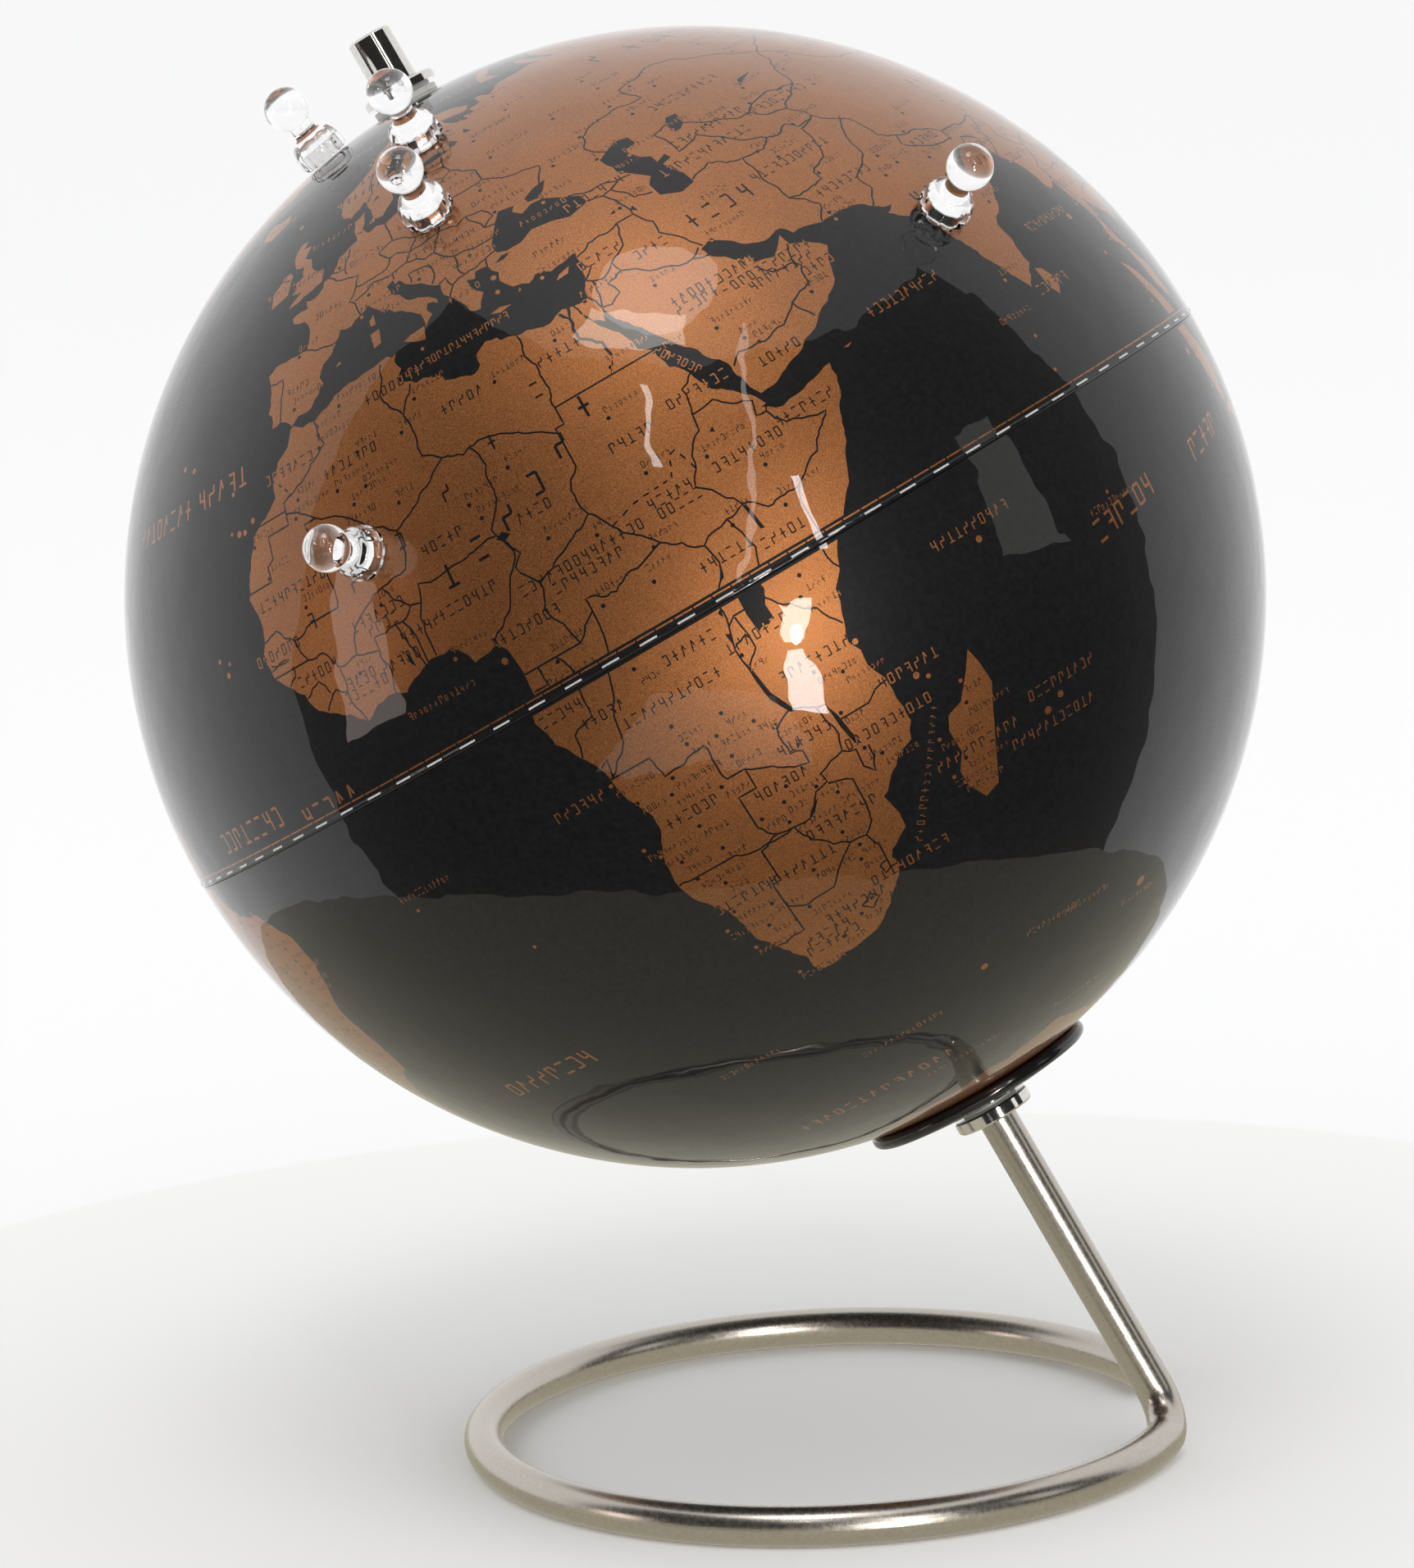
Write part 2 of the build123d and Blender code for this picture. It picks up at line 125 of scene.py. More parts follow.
NORTH_AMERICA = [
    (-168, 65.6), (-163, 66.6), (-166, 68.4), (-156.5, 71.3), (-141, 69.7), (-128, 70.2),
    (-115, 68.3), (-102, 67.8), (-95, 71.8), (-88, 68.4), (-82, 69.6), (-82, 67), (-87, 64.5),
    (-94, 61.5), (-94.5, 58.8), (-92.5, 57), (-82.4, 55.2), (-82, 53), (-79, 51.4), (-79.2, 54.6),
    (-76.8, 57), (-78, 62.3), (-70, 61), (-67.8, 58.6), (-64.6, 60.2), (-61.4, 56), (-56, 52.8),
    (-60, 50.2), (-66.5, 50.2), (-70, 47.3), (-64.6, 49), (-64.5, 46.6), (-60.2, 46.6),
    (-65.6, 43.5), (-67, 44.8), (-70.6, 43), (-70.2, 41.7), (-74, 40.6), (-75.9, 37), (-75.7, 35.2),
    (-78.6, 33.8), (-81.3, 31.2), (-80.1, 27), (-80.4, 25.2), (-82.6, 28), (-84, 30), (-89.2, 30.3),
    (-90, 29.1), (-94.5, 29.4), (-97.3, 27.6), (-97.7, 22.4), (-95.6, 18.6), (-91.7, 18.5),
    (-90.3, 21), (-86.9, 21.4), (-88.4, 16.4), (-83.4, 15), (-83.6, 11), (-79.8, 9.3), (-77.3, 8.5),
    (-78.3, 7.9), (-80.4, 7.4), (-83.5, 8.7), (-85.8, 10.5), (-87.8, 13), (-92.4, 14.6),
    (-95.2, 16.1), (-99.8, 16.8), (-105.5, 20.2), (-109.2, 25.6), (-112.9, 30.4), (-114.8, 31.7),
    (-112.7, 27.9), (-109.5, 23.1), (-112.2, 25.2), (-115, 28.4), (-117.2, 32.7), (-120.6, 34.6),
    (-122.5, 37.7), (-124.3, 40.3), (-124, 46), (-124.7, 48.3), (-122.6, 48), (-127.6, 51),
    (-130.6, 54.8), (-135, 58.3), (-140, 59.8), (-148, 60.4), (-152, 59.1), (-158, 56.5),
    (-164.6, 54.6), (-159, 58.7), (-162, 59.9), (-165.4, 62), (-161, 64.4),
]
SOUTH_AMERICA = [
    (-77.3, 8.6), (-75.5, 10.7), (-71.7, 12.3), (-71.5, 10.9), (-67, 10.6), (-62, 10.7), (-60, 8.5),
    (-57, 6), (-51.7, 4.2), (-50, 0), (-44.3, -2.6), (-40, -2.9), (-35.3, -5.3), (-34.8, -8),
    (-37, -11), (-39, -13.2), (-39.2, -17.8), (-41, -22), (-44.6, -23.2), (-48.5, -25.8),
    (-48.7, -28.5), (-52.2, -32.3), (-54.9, -34.9), (-58.3, -34.2), (-57, -36.6), (-57.8, -38.3),
    (-62.2, -39), (-65, -41), (-63.7, -42.6), (-67.4, -46), (-65.8, -47.8), (-69, -51), (-68.4, -52.4),
    (-65.2, -54.7), (-69.5, -55.4), (-74.6, -51.5), (-75.5, -47), (-73.6, -42), (-73.4, -37.2),
    (-71.5, -32), (-70.4, -23.5), (-70.4, -18.4), (-76.2, -14), (-79.2, -8), (-81.3, -4.6),
    (-80, -2.6), (-80.3, .2), (-78.6, 2), (-77.2, 4), (-77.9, 7.2),
]
AUSTRALIA = [
    (113.6, -22.2), (117, -20.6), (121.5, -19), (122.3, -17.2), (125, -14.8), (127.2, -13.9),
    (129.2, -14.9), (130.8, -12.5), (132.6, -11.4), (136.8, -12.2), (135.6, -14.8), (139.8, -17.6),
    (141.6, -14.6), (142.5, -10.8), (143.8, -14.3), (145.4, -15.4), (146.3, -18.9), (149.5, -22.2),
    (153.1, -25.2), (153.5, -28.8), (152.4, -32.4), (150, -37.2), (146.4, -39), (143.5, -38.7),
    (139.8, -37.2), (138.2, -35.5), (137.9, -33), (135.8, -34.8), (131.2, -31.6), (125.9, -32.3),
    (123.5, -33.9), (118, -35), (115.1, -34.3), (115.8, -32), (114.2, -28), (113.5, -24.4),
]
ANTARCTICA = [
    (0, -70), (12, -70.2), (25, -70), (33, -68.6), (40, -69.2), (47, -67.6), (55, -66.1),
    (62, -67.6), (70, -68.8), (73, -69.8), (78, -69.2), (82, -67.3), (92, -66.7), (102, -65.8),
    (113, -66.1), (123, -66.6), (135, -66), (143, -67), (152, -68.6), (162, -70.4), (170.8, -71.8),
    (167, -74.2), (163.5, -77.5), (173, -78.2), (195, -78.2), (203, -77), (213, -76), (226, -74.6),
    (240, -74.3), (253, -74.4), (258.5, -72.6), (270, -73.2), (284, -72.6), (292, -69.4),
    (296, -65.7), (303, -63.3), (299.5, -66.2), (297.8, -69.5), (299, -74), (315, -78), (328, -76.2),
    (340, -73), (350, -71.2),
]
ISLANDS = [
    [(-5.6, 50.1), (-3.5, 50.3), (1.3, 51.2), (1.7, 52.6), (.2, 53), (-1.6, 55.5), (-3, 56),
     (-2, 57.5), (-3.9, 57.7), (-3.1, 58.6), (-5, 58.6), (-6, 57), (-5.1, 55.3), (-3.1, 54.9),
     (-3, 53.5), (-4.5, 53.2), (-4.3, 52.3), (-5.2, 51.8), (-3, 51.4)],
    [(-6.2, 52.2), (-9.9, 51.6), (-9.9, 53.7), (-8.3, 54.5), (-8, 55.1), (-6.3, 55.2), (-5.6, 54.5),
     (-6.1, 53.4)],
    [(-22.6, 64), (-18.6, 63.4), (-14, 64.8), (-15.1, 66.2), (-18.6, 66), (-22.6, 66.4), (-24, 65.5)],
    [(12.5, 37.8), (13.5, 38.1), (15.6, 38.2), (15.2, 36.7), (13.8, 37.1)],
    [(8.4, 39), (9.5, 39.2), (9.7, 40.9), (8.3, 40.8)], [(8.6, 41.7), (9.4, 41.6), (9.4, 42.9), (8.6, 42.4)],
    [(23.6, 35.3), (24.8, 34.9), (26.3, 35.1), (25, 35.5)],
    [(32.3, 34.8), (33.9, 34.9), (34.5, 35.6), (33, 35.3)], [(2.4, 39.5), (3.4, 39.5), (3, 39.9)],
    [(11.1, 55.3), (12.5, 55.3), (12.4, 56.1)], [(18.2, 57.2), (19, 57.9), (18.7, 57.2)],
    [(22.3, 58.4), (23.3, 58.7), (22, 58.6)], [(27.8, 35.9), (28.2, 36.4), (28.2, 36)],
    [(51.5, 71.5), (57.5, 70.7), (57, 73), (68.5, 76.6), (61, 76.2), (54.5, 74)],
    [(11, 79.2), (16.5, 76.7), (24, 78.3), (27, 80), (15, 80)], [(95, 79), (105, 78.8), (98, 81)],
    [(50, 80.2), (62, 80.3), (58, 81.6)], [(139, 74.8), (150, 75), (143, 75.9)],
    [(178.6, 71), (182.5, 71.2), (180.4, 71.6)],
    [(79.9, 9.6), (80.8, 9.2), (81.9, 7.4), (80.6, 6), (79.8, 7.5)],
    [(49.3, -12), (49.9, -13.4), (50.4, -15.6), (49.5, -17.6), (48.5, -20.5), (47.1, -25),
     (45.2, -25.6), (43.7, -23.5), (43.4, -21.7), (44.4, -20), (44, -17.5), (44.6, -16.2),
     (46.4, -15.7), (48.1, -13.7)],
    [(53.4, 12.5), (54.5, 12.6), (53.9, 12.3)],
    [(95.3, 5.6), (98, 4.3), (100.5, 2.2), (103.5, -1), (106, -3), (105.8, -5.8), (104.3, -5.7),
     (101.3, -2.6), (98.7, 1.7)],
    [(105.3, -6.8), (106.9, -6.1), (110.7, -6.6), (114.4, -7.8), (114.4, -8.6), (108.5, -7.7)],
    [(109, 1.5), (111.2, 1.8), (113, 3.2), (116.7, 7), (119.1, 5.2), (117.8, 3.3), (118.8, 1),
     (117.4, .2), (116.3, -3.7), (114.5, -4), (111.7, -3.3), (109.8, -1.2)],
    [(119.5, -5.5), (120.4, -5.4), (120.5, -3.1), (122.3, -4.8), (122.4, -3.3), (121.3, -1.9),
     (123.3, -.9), (120.5, -.9), (120.3, .3), (124.6, .5), (125, 1.6), (120.8, 1.3), (119.7, -.2),
     (118.9, -2.8)],
    [(131, -.8), (134, -.8), (135, -3.3), (137.8, -1.6), (141, -2.6), (145.8, -5.4), (147.9, -7),
     (150.7, -10.3), (147, -9.4), (143.4, -8.3), (141, -9.1), (138, -8.3), (138.6, -6.6),
     (135.2, -4.4), (132.8, -4), (133.7, -2.3)],
    [(148.4, -5.7), (152, -4.3), (151.5, -5.6)], [(119, -8.6), (123, -8.3), (120, -9)],
    [(123.6, -10.3), (127.2, -8.4), (125, -9.3)], [(128, -3), (130.8, -3.4), (128.3, -3.4)],
    [(127.5, .4), (128, 2.1), (128.6, .8), (128, -.6)], [(154.8, -5.6), (160.7, -9.6), (157, -8)],
    [(164, -20.2), (167, -22.3), (165, -21.4)], [(177.3, -18), (178.6, -18), (178, -17.4)],
    [(120.5, 18.5), (122.2, 18.4), (121.6, 16), (124, 12.7), (121, 13.7), (120.2, 16.1)],
    [(122, 7), (124, 8.4), (125.5, 9.7), (126.5, 7.5), (125.5, 5.7), (124, 6.6)],
    [(122, 11.5), (123.2, 11.2), (123, 9.2), (122.4, 10)], [(124.4, 12.5), (125.7, 12), (125, 10.2)],
    [(117.2, 8.4), (119.4, 11.2), (118.4, 9.2)],
    [(121.5, 25.2), (120.2, 23.2), (120.8, 22), (121.6, 24)], [(108.7, 19.2), (110.7, 20), (110, 18.5)],
    [(130.9, 34), (132.6, 35.4), (136, 35.7), (137, 37.4), (139.4, 38.2), (140, 40.5), (141.3, 41.3),
     (142, 39.5), (140.9, 37), (140.7, 35.6), (138.8, 34.8), (135.8, 33.5), (133.4, 34.4)],
    [(129.8, 33.3), (131.8, 33.6), (131.3, 31.4), (130.2, 31.3)], [(132.3, 33.6), (134.6, 34.2), (133, 32.8)],
    [(140, 41.6), (141.8, 45.4), (145.4, 43.3), (143.2, 42)],
    [(142, 46), (143.6, 49.2), (143, 54.3), (142.1, 51)], [(147.8, 44.6), (149.3, 45.6), (148, 44.8)],
    [(144.7, -40.8), (148.3, -40.9), (147.4, -43.4), (145.6, -42.9)],
    [(172.8, -34.5), (175.4, -36.7), (178.4, -37.7), (176.9, -39.6), (175.2, -41.5), (173.8, -39.3)],
    [(172.7, -40.6), (174.2, -41.7), (171.2, -44.4), (168.7, -46.5), (166.6, -45.9), (170.5, -43)],
    [(-73, 78.2), (-67, 76.1), (-58.5, 75.5), (-54, 70.8), (-53.4, 67), (-48.2, 61), (-43.6, 60),
     (-40, 65), (-32, 68.1), (-22.3, 70.4), (-20, 75), (-17, 80), (-32, 83.5), (-58, 82)],
    [(-62, 66.6), (-68, 70.4), (-80, 73.7), (-89, 72.4), (-85, 70), (-73, 68), (-72.5, 65.7),
     (-77.5, 64.5), (-66, 62)],
    [(-105, 69), (-116.5, 70), (-114.5, 73.2), (-105, 72.6)], [(-125, 72), (-116, 73.3), (-120, 76)],
    [(-62, 82.4), (-88, 82), (-90, 76.7), (-78, 77.2)], [(-80.5, 75), (-92, 74.8), (-95, 76.6), (-84, 76.2)],
    [(-97, 72), (-102, 73.2), (-98, 76.5)], [(-59.3, 47.7), (-53, 46.7), (-53.2, 48.8), (-55.6, 51.5)],
    [(-84.8, 21.9), (-80.6, 23.1), (-74.3, 20.2), (-77.5, 20)], [(-74.3, 18.4), (-73, 19.8), (-68.4, 18.6)],
    [(-78.3, 18.2), (-76.3, 18.1), (-77.2, 18.5)], [(-67.2, 18.2), (-65.7, 18.3), (-66.4, 18)],
    [(-61, -51.6), (-57.8, -51.6), (-59.6, -52.3)], [(-155.9, 20.2), (-154.9, 19.5), (-155.7, 19)],
    [(-132.9, 54), (-131.6, 53.2), (-131.2, 52.2)], [(-128, 50.7), (-123.6, 48.5), (-125.2, 48.8)],
]
# Islands too small for an outline: (longitude, latitude, radius).
SMALL_ISLANDS = [
    (43.3, -11.6, .35), (44.4, -12.2, .25), (57.6, -20.3, .35), (55.5, -21.1, .4), (55.5, -4.6, .35),
    (39.4, -6.1, .3), (-16.6, 28.2, .35), (-15.6, 28, .3), (-14, 28.8, .3), (-17.9, 28.7, .2),
    (-23.6, 15.1, .3), (-24.5, 16.8, .25), (-22.9, 16.1, .2), (8.7, 3.5, .35), (6.6, .3, .25),
    (73.5, 4.2, .2), (73.2, 1.8, .2), (92.8, 12.4, .4), (93.8, 7.2, .25), (98, 0, .35), (99, -1.8, .4),
    (69.5, -49.3, .6), (37.8, -46.9, .4), (-36.8, -54.4, .5), (26, 39, .3), (25.6, 37.2, .25),
    (14.4, 35.9, .2), (50.5, 26.1, .2), (-25.5, 37.8, .3), (-28, 38.6, .3), (-16.9, 32.7, .25),
    (-5.7, -15.9, .2), (-14.4, -7.9, .2), (-90.8, -.6, .5), (-61, 14.6, .3), (-61.5, 16.2, .3),
    (-61.3, 10.5, .35), (-78, 25, .5), (-75.5, 23.5, .3), (-149.5, -17.6, .3), (-172, -13.6, .35),
    (-157.9, 21.4, .3), (144.8, 13.4, .25), (134.5, 7.5, .25), (-6.9, 62, .3), (72.3, -6.5, .2),
]
WATERS = [
    [(28, 41.6), (27.7, 42.7), (28.6, 43.8), (29.7, 45.2), (31, 46.5), (33.3, 46.1), (32.6, 45.4),
     (33.6, 44.5), (35.4, 45.1), (37.2, 44.9), (39, 43.9), (41.3, 42.7), (41.5, 41.5), (38.4, 40.9),
     (36.2, 41.6), (33.4, 42), (31.3, 41.2), (29.2, 41.2)],
    [(35.1, 46.2), (37, 46.9), (39.2, 47.2), (38, 46), (36.8, 45.3), (35.2, 45.5)],
    [(27, 40.5), (28.3, 41), (29.4, 40.8), (28.2, 40.4)],
    [(47.2, 44.6), (47.1, 45.6), (49, 46.3), (51.2, 47), (53, 46.6), (53, 45.3), (51.2, 45.2),
     (50.9, 44.5), (51.6, 43.2), (52.7, 42.6), (52.6, 41.5), (54.3, 42), (54.5, 41.2), (52.9, 40.9),
     (53.2, 39.7), (53.8, 38.6), (53.8, 37), (51.6, 36.6), (49.2, 37.6), (49.2, 39.4), (50.3, 40.3),
     (48.9, 41.7), (47.5, 43), (47.6, 43.9)],
    [(58.5, 45.4), (59.8, 46.4), (61.6, 46.3), (60.8, 44.6), (59.6, 44), (58.5, 44)],
    [(73.8, 45.3), (75.2, 46.5), (79, 46.7), (75.8, 46)],
    [(103.9, 51.5), (106.3, 52.8), (109.4, 55.7), (109, 53.9), (106.5, 52)],
    [(76.3, 42.3), (78.3, 42.6), (77.4, 42.1)], [(30.5, 60.3), (31.2, 61.4), (32.6, 60.6), (31.4, 60)],
    [(34.6, 61.4), (35.2, 62.4), (36.2, 61.2)], [(12.5, 58.5), (13.5, 59.3), (14, 58.8)],
    [(44.9, 37.8), (45.5, 38.2), (45.6, 37.3)], [(42.5, 38.5), (43.4, 38.9), (43.2, 38.4)],
    [(31.7, .3), (32.8, .5), (34.1, .2), (34.3, -.5), (33.6, -1.4), (33.7, -2.2), (33, -2.5),
     (32.4, -2.4), (31.8, -2.6), (31.6, -1.3)],
    [(29.1, -3.4), (29.5, -4.5), (29.9, -6.2), (31.2, -8.7), (30.6, -8.6), (29.5, -6.7), (29.2, -5)],
    [(33.9, -9.6), (34.5, -11), (34.9, -13), (35.3, -14.3), (34.7, -14), (34.2, -12.2)],
    [(35.9, 4.5), (36.3, 4.4), (36.7, 2.6), (36.3, 2.7)], [(30.4, 1.1), (31.4, 2.3), (31, 1.3)],
    [(29.3, -.4), (29.8, -.2), (29.6, -.8)], [(28.9, -1.7), (29.3, -1.8), (29.1, -2.6)],
    [(37, 12), (37.5, 12.3), (37.5, 11.7)], [(13.5, 13.4), (14.4, 13.8), (15.1, 13.2), (14.2, 12.8)],
    [(26.9, -17.9), (27.6, -17.2), (28.8, -16.5), (27.8, -17.6)],
    [(-.6, 8.6), (.1, 7.8), (.2, 6.4), (-.2, 7)], [(31.4, 21.6), (32.9, 23.8), (32.5, 22.9)],
    [(29.4, -11.9), (29.9, -11.6), (29.8, -10.8)], [(28.6, -9.4), (29, -8.8), (28.4, -8.8)],
    [(-92, 46.7), (-88.5, 48.6), (-85, 47.8), (-84.8, 46.5), (-88, 46.9)],
    [(-87.5, 41.7), (-88, 44.4), (-85.3, 45.9), (-86.4, 43.6)],
    [(-83.6, 44), (-84.3, 45.9), (-80.5, 45.6), (-81.7, 43.3)],
    [(-83.2, 41.6), (-79, 42.8), (-81.2, 42.5)], [(-79.7, 43.3), (-76.4, 44), (-77.4, 43.4)],
    [(-124, 65.6), (-118.4, 66.6), (-120.6, 65)], [(-116, 61), (-110, 62.4), (-113, 61)],
    [(-98.4, 53.4), (-96.7, 50.8), (-97.6, 51.8)], [(-111, 59.2), (-106, 59.3), (-109, 59)],
    [(-70.1, -15.4), (-69.2, -16.4), (-68.8, -16)], [(-85.9, 12), (-84.9, 11.3), (-85.2, 11.6)],
    [(99.8, 37), (100.8, 36.7), (100.1, 36.6)], [(137, -28.5), (137.6, -28), (137.7, -28.9)],
]
BORDERS = [
    # north and west Africa
    [(-2.2, 35.1), (-1.3, 32.3), (-3.8, 31), (-5.5, 29.8), (-8.7, 28.7), (-8.7, 26), (-12, 26),
     (-12, 23.4), (-13, 22.9), (-13, 21.3), (-17, 21.3)],
    [(-13.2, 27.7), (-8.7, 27.7)], [(-8.7, 27.3), (-4.8, 25), (1.2, 21.1), (4.2, 19.2), (11.9, 23.5)],
    [(-4.8, 25), (-6.5, 25), (-5.5, 15.5), (-9.3, 15.5), (-12.2, 14.8)],
    [(-16.5, 16.1), (-14.3, 16.6), (-12.2, 14.8), (-11.4, 12.4)],
    [(4.2, 19.2), (4.2, 16.9), (3.5, 15.4), (.2, 15)], [(11.9, 23.5), (9.9, 24.9), (9.8, 29.4), (9.5, 30.3)],
    [(11.5, 33.1), (10.2, 31.5), (9.5, 30.3), (7.5, 33.8), (8.3, 35.3), (8.6, 36.9)],
    [(11.9, 23.5), (14.2, 22.6), (15, 23), (24, 19.5)],
    [(25.1, 31.6), (24.8, 29.2), (25, 22), (25, 20), (24, 20), (24, 15.7), (22.9, 14.8), (22.4, 12.7),
     (22.8, 11)],
    [(25, 22), (31.3, 22), (37, 22)], [(15, 23), (15.9, 20.4), (15.4, 16.9), (13.5, 14.4), (14, 13.1)],
    [(13.6, 13.7), (10, 13.3), (6.8, 13.1), (4.1, 13.5), (3.6, 11.7), (2.7, 9), (2.7, 6.4)],
    [(.9, 11), (1.6, 9), (1.6, 6.2)], [(0, 11.1), (.5, 8.5), (1.2, 6.1)], [(-2.8, 9.7), (-3.1, 5.1)],
    [(-5.5, 10.4), (-2.8, 9.7), (-2.8, 11), (0, 11.1), (.9, 11), (2.4, 12), (3.6, 11.7)],
    [(-5.5, 10.4), (-4.3, 13), (-2, 14.2), (.2, 15), (2.4, 12)],
    [(-5.5, 10.4), (-8, 10.2), (-8.3, 7.6), (-7.5, 4.4)], [(-8.3, 7.6), (-9.5, 8.4), (-11.5, 6.9)],
    [(-10.3, 8.4), (-11.2, 10), (-13.3, 9)], [(-8, 10.2), (-9.3, 12.3), (-11.4, 12.4), (-16.7, 12.4)],
    [(-13.7, 12.6), (-13.8, 11.6), (-15, 10.9)], [(-16.7, 13.2), (-13.8, 13.4), (-16.6, 13.7)],
    # central and east Africa
    [(14.1, 13), (14.6, 11.5), (13.2, 9.6), (11.5, 6.6), (8.6, 4.8)],
    [(14.1, 13), (15.1, 11), (14, 10), (15.5, 7.5), (14.6, 5), (16.1, 2.2)],
    [(15.5, 7.5), (18.9, 9), (22.8, 11), (24.2, 8.7), (27.4, 5)],
    [(27.4, 5), (22.5, 4.1), (18.6, 4.3), (18.6, 3.5), (17.7, .3), (16.2, -2.2), (15.3, -4.3), (12.3, -5.9)],
    [(16.1, 2.2), (18.6, 3.5)], [(9.8, 2.2), (13.3, 2.2), (16.1, 2.2)], [(9.8, 1), (11.3, 1), (11.3, 2.2)],
    [(13.3, 2.2), (14.4, 0), (14, -2), (11.6, -2.5), (11.1, -3.9)], [(12.1, -5), (13, -4.7), (12.6, -5.8)],
    [(34, 9.5), (33, 7.9), (35, 5.5), (36, 4.5), (34, 4.2), (30.9, 3.5), (27.4, 5)],
    [(34, 9.5), (34.3, 10.8), (36.2, 12.6), (36.5, 14.3), (37, 17), (38.6, 18)],
    [(36.5, 14.3), (39, 14.6), (42.3, 12.5), (41.8, 11), (42.9, 10.9), (43.2, 11.5)],
    [(42.9, 10.9), (44, 9), (47, 8), (48, 8), (45, 5), (41.9, 3.9), (41, 2.9), (41, -.8), (41.6, -1.7)],
    [(36, 4.5), (38, 3.6), (41.9, 3.9)], [(34, 4.2), (35, 1.9), (33.9, .1), (33.9, -1)],
    [(33.9, -1), (37.7, -3.1), (39.2, -4.7)], [(30.9, 3.5), (31.3, 2.2), (29.7, .5), (29.6, -1.4)],
    [(29.6, -1.4), (30.5, -1), (33.9, -1)], [(29.6, -1.4), (29, -2.8), (30.8, -2.4), (30.5, -1.1)],
    [(29, -2.8), (29.3, -4.4), (30.8, -3.3), (30.8, -2.4)],
    # southern Africa
    [(12.2, -5.9), (16.6, -5.9), (17, -8), (19.2, -7.9), (21.8, -7.3), (22, -11), (24, -11), (24, -13),
     (22, -13), (22, -16.2), (23.4, -17.6)],
    [(11.8, -17.3), (14, -17.4), (18.5, -17.4), (21, -18), (23.4, -17.6), (25.2, -17.8)],
    [(21, -18.3), (21, -22), (20, -22), (20, -28.4), (17.5, -28.8), (16.5, -28.6)],
    [(21, -18.3), (23.3, -18), (25.2, -17.8), (26.2, -20), (27.8, -21.5), (29.4, -22.2)],
    [(20, -24.8), (22, -25.9), (25.5, -25.6), (26.8, -24.2), (29.4, -22.2)],
    [(29.4, -22.2), (31.3, -22.4), (32.5, -21.3), (32.8, -19.5), (32.8, -16.7), (30.4, -15.9)],
    [(25.2, -17.8), (27, -17.9), (28.9, -16), (30.4, -15.7), (30.2, -14.8), (33.2, -14), (33.7, -12.5),
     (33.2, -11), (33, -9.4)],
    [(33.2, -14), (34.5, -14.5), (34.4, -16.2), (35.3, -17.1), (35.8, -15.9), (35.8, -14.7)],
    [(24, -11), (26, -11.9), (29.8, -13.4), (29.8, -12.2), (28.6, -11.9), (28.7, -9.3), (30.8, -8.3),
     (33, -9.4), (34, -9.6)],
    [(34.6, -11.5), (37.8, -11.5), (40.4, -10.5)],
    [(31.3, -22.4), (32, -24), (32, -26), (31, -26.2), (31.2, -27.3), (32, -26.9), (32.9, -26.9)],
    [(32, -26), (32, -26.9)], [(27, -29.6), (28.5, -28.6), (29.4, -29.5), (28, -30.6), (27, -29.6)],
    # Europe
    [(-8.9, 41.9), (-6.5, 41.7), (-7, 39.7), (-7.4, 37.2)], [(-1.8, 43.4), (.6, 42.7), (3.1, 42.4)],
    [(7.5, 43.8), (7, 45.5), (6.1, 46.2), (7.5, 47.6), (8.2, 49), (6.2, 49.5), (4.2, 50), (2.5, 51.1)],
    [(3.4, 51.4), (5.9, 51), (6.1, 50.1)], [(5.9, 51), (6.8, 52.5), (7.1, 53.3)], [(8.7, 54.9), (9.8, 54.8)],
    [(14.3, 53.9), (14.7, 52), (14.9, 50.9), (12.2, 50.3), (13.8, 48.7), (12.9, 47.6), (9.7, 47.5),
     (7.5, 47.6)],
    [(7, 45.9), (9, 46.2), (10.4, 46.9), (13.6, 46.5), (13.6, 45.7)],
    [(13.6, 46.5), (16.1, 46.9), (17.1, 48), (15, 48.9), (13.8, 48.7)],
    [(17.1, 48), (18.8, 49.5), (22.6, 49.1)], [(14.9, 50.9), (18.8, 49.5)],
    [(17.1, 48), (20, 48.2), (22.2, 48.4), (22.6, 49.1)],
    [(22.2, 48.4), (20.3, 46.1), (18.8, 45.9), (16.1, 46.9)],
    [(20.3, 46.1), (21.5, 44.8), (22.7, 44.2), (25.5, 43.7), (28.6, 43.7)],
    [(22.2, 48.4), (24.9, 47.7), (26.6, 48.3), (28.2, 45.5), (29.7, 45.2)],
    [(26.6, 48.3), (29.1, 47.9), (30.1, 46.4), (28.2, 45.5)],
    [(22.7, 44.2), (22.4, 42.3), (23, 41.3), (26.3, 41.7), (28, 42)], [(26.3, 41.7), (26, 40.7)],
    [(20, 39.7), (21, 40.9), (23, 41.3)], [(19.4, 41.9), (20.5, 42.2), (20.9, 40.9)],
    [(15.9, 44), (15.8, 45.2), (19, 44.9), (19.3, 43.5), (18.5, 42.4)],
    [(22.6, 49.1), (24, 50.8), (23.6, 52.6), (23.5, 54), (19.7, 54.4)],
    [(23.5, 54), (26.6, 55.7), (21.1, 56.1)], [(24.4, 57.9), (27.4, 57.5)],
    [(26.6, 55.7), (28.2, 56.2), (27.4, 57.5), (28, 59.4)],
    [(28.2, 56.2), (31.8, 54), (31.8, 52.1), (23.6, 51.5)],
    [(31.8, 52.1), (35.5, 50.4), (40.1, 49.5), (38.2, 47.1)],
    [(27.8, 60.6), (31.5, 62.9), (29, 66.9), (28.5, 68.5), (30.8, 69.8)],
    [(24.1, 65.8), (23.7, 67.9), (20.6, 69.1), (25.7, 69.1), (28.7, 69.1)],
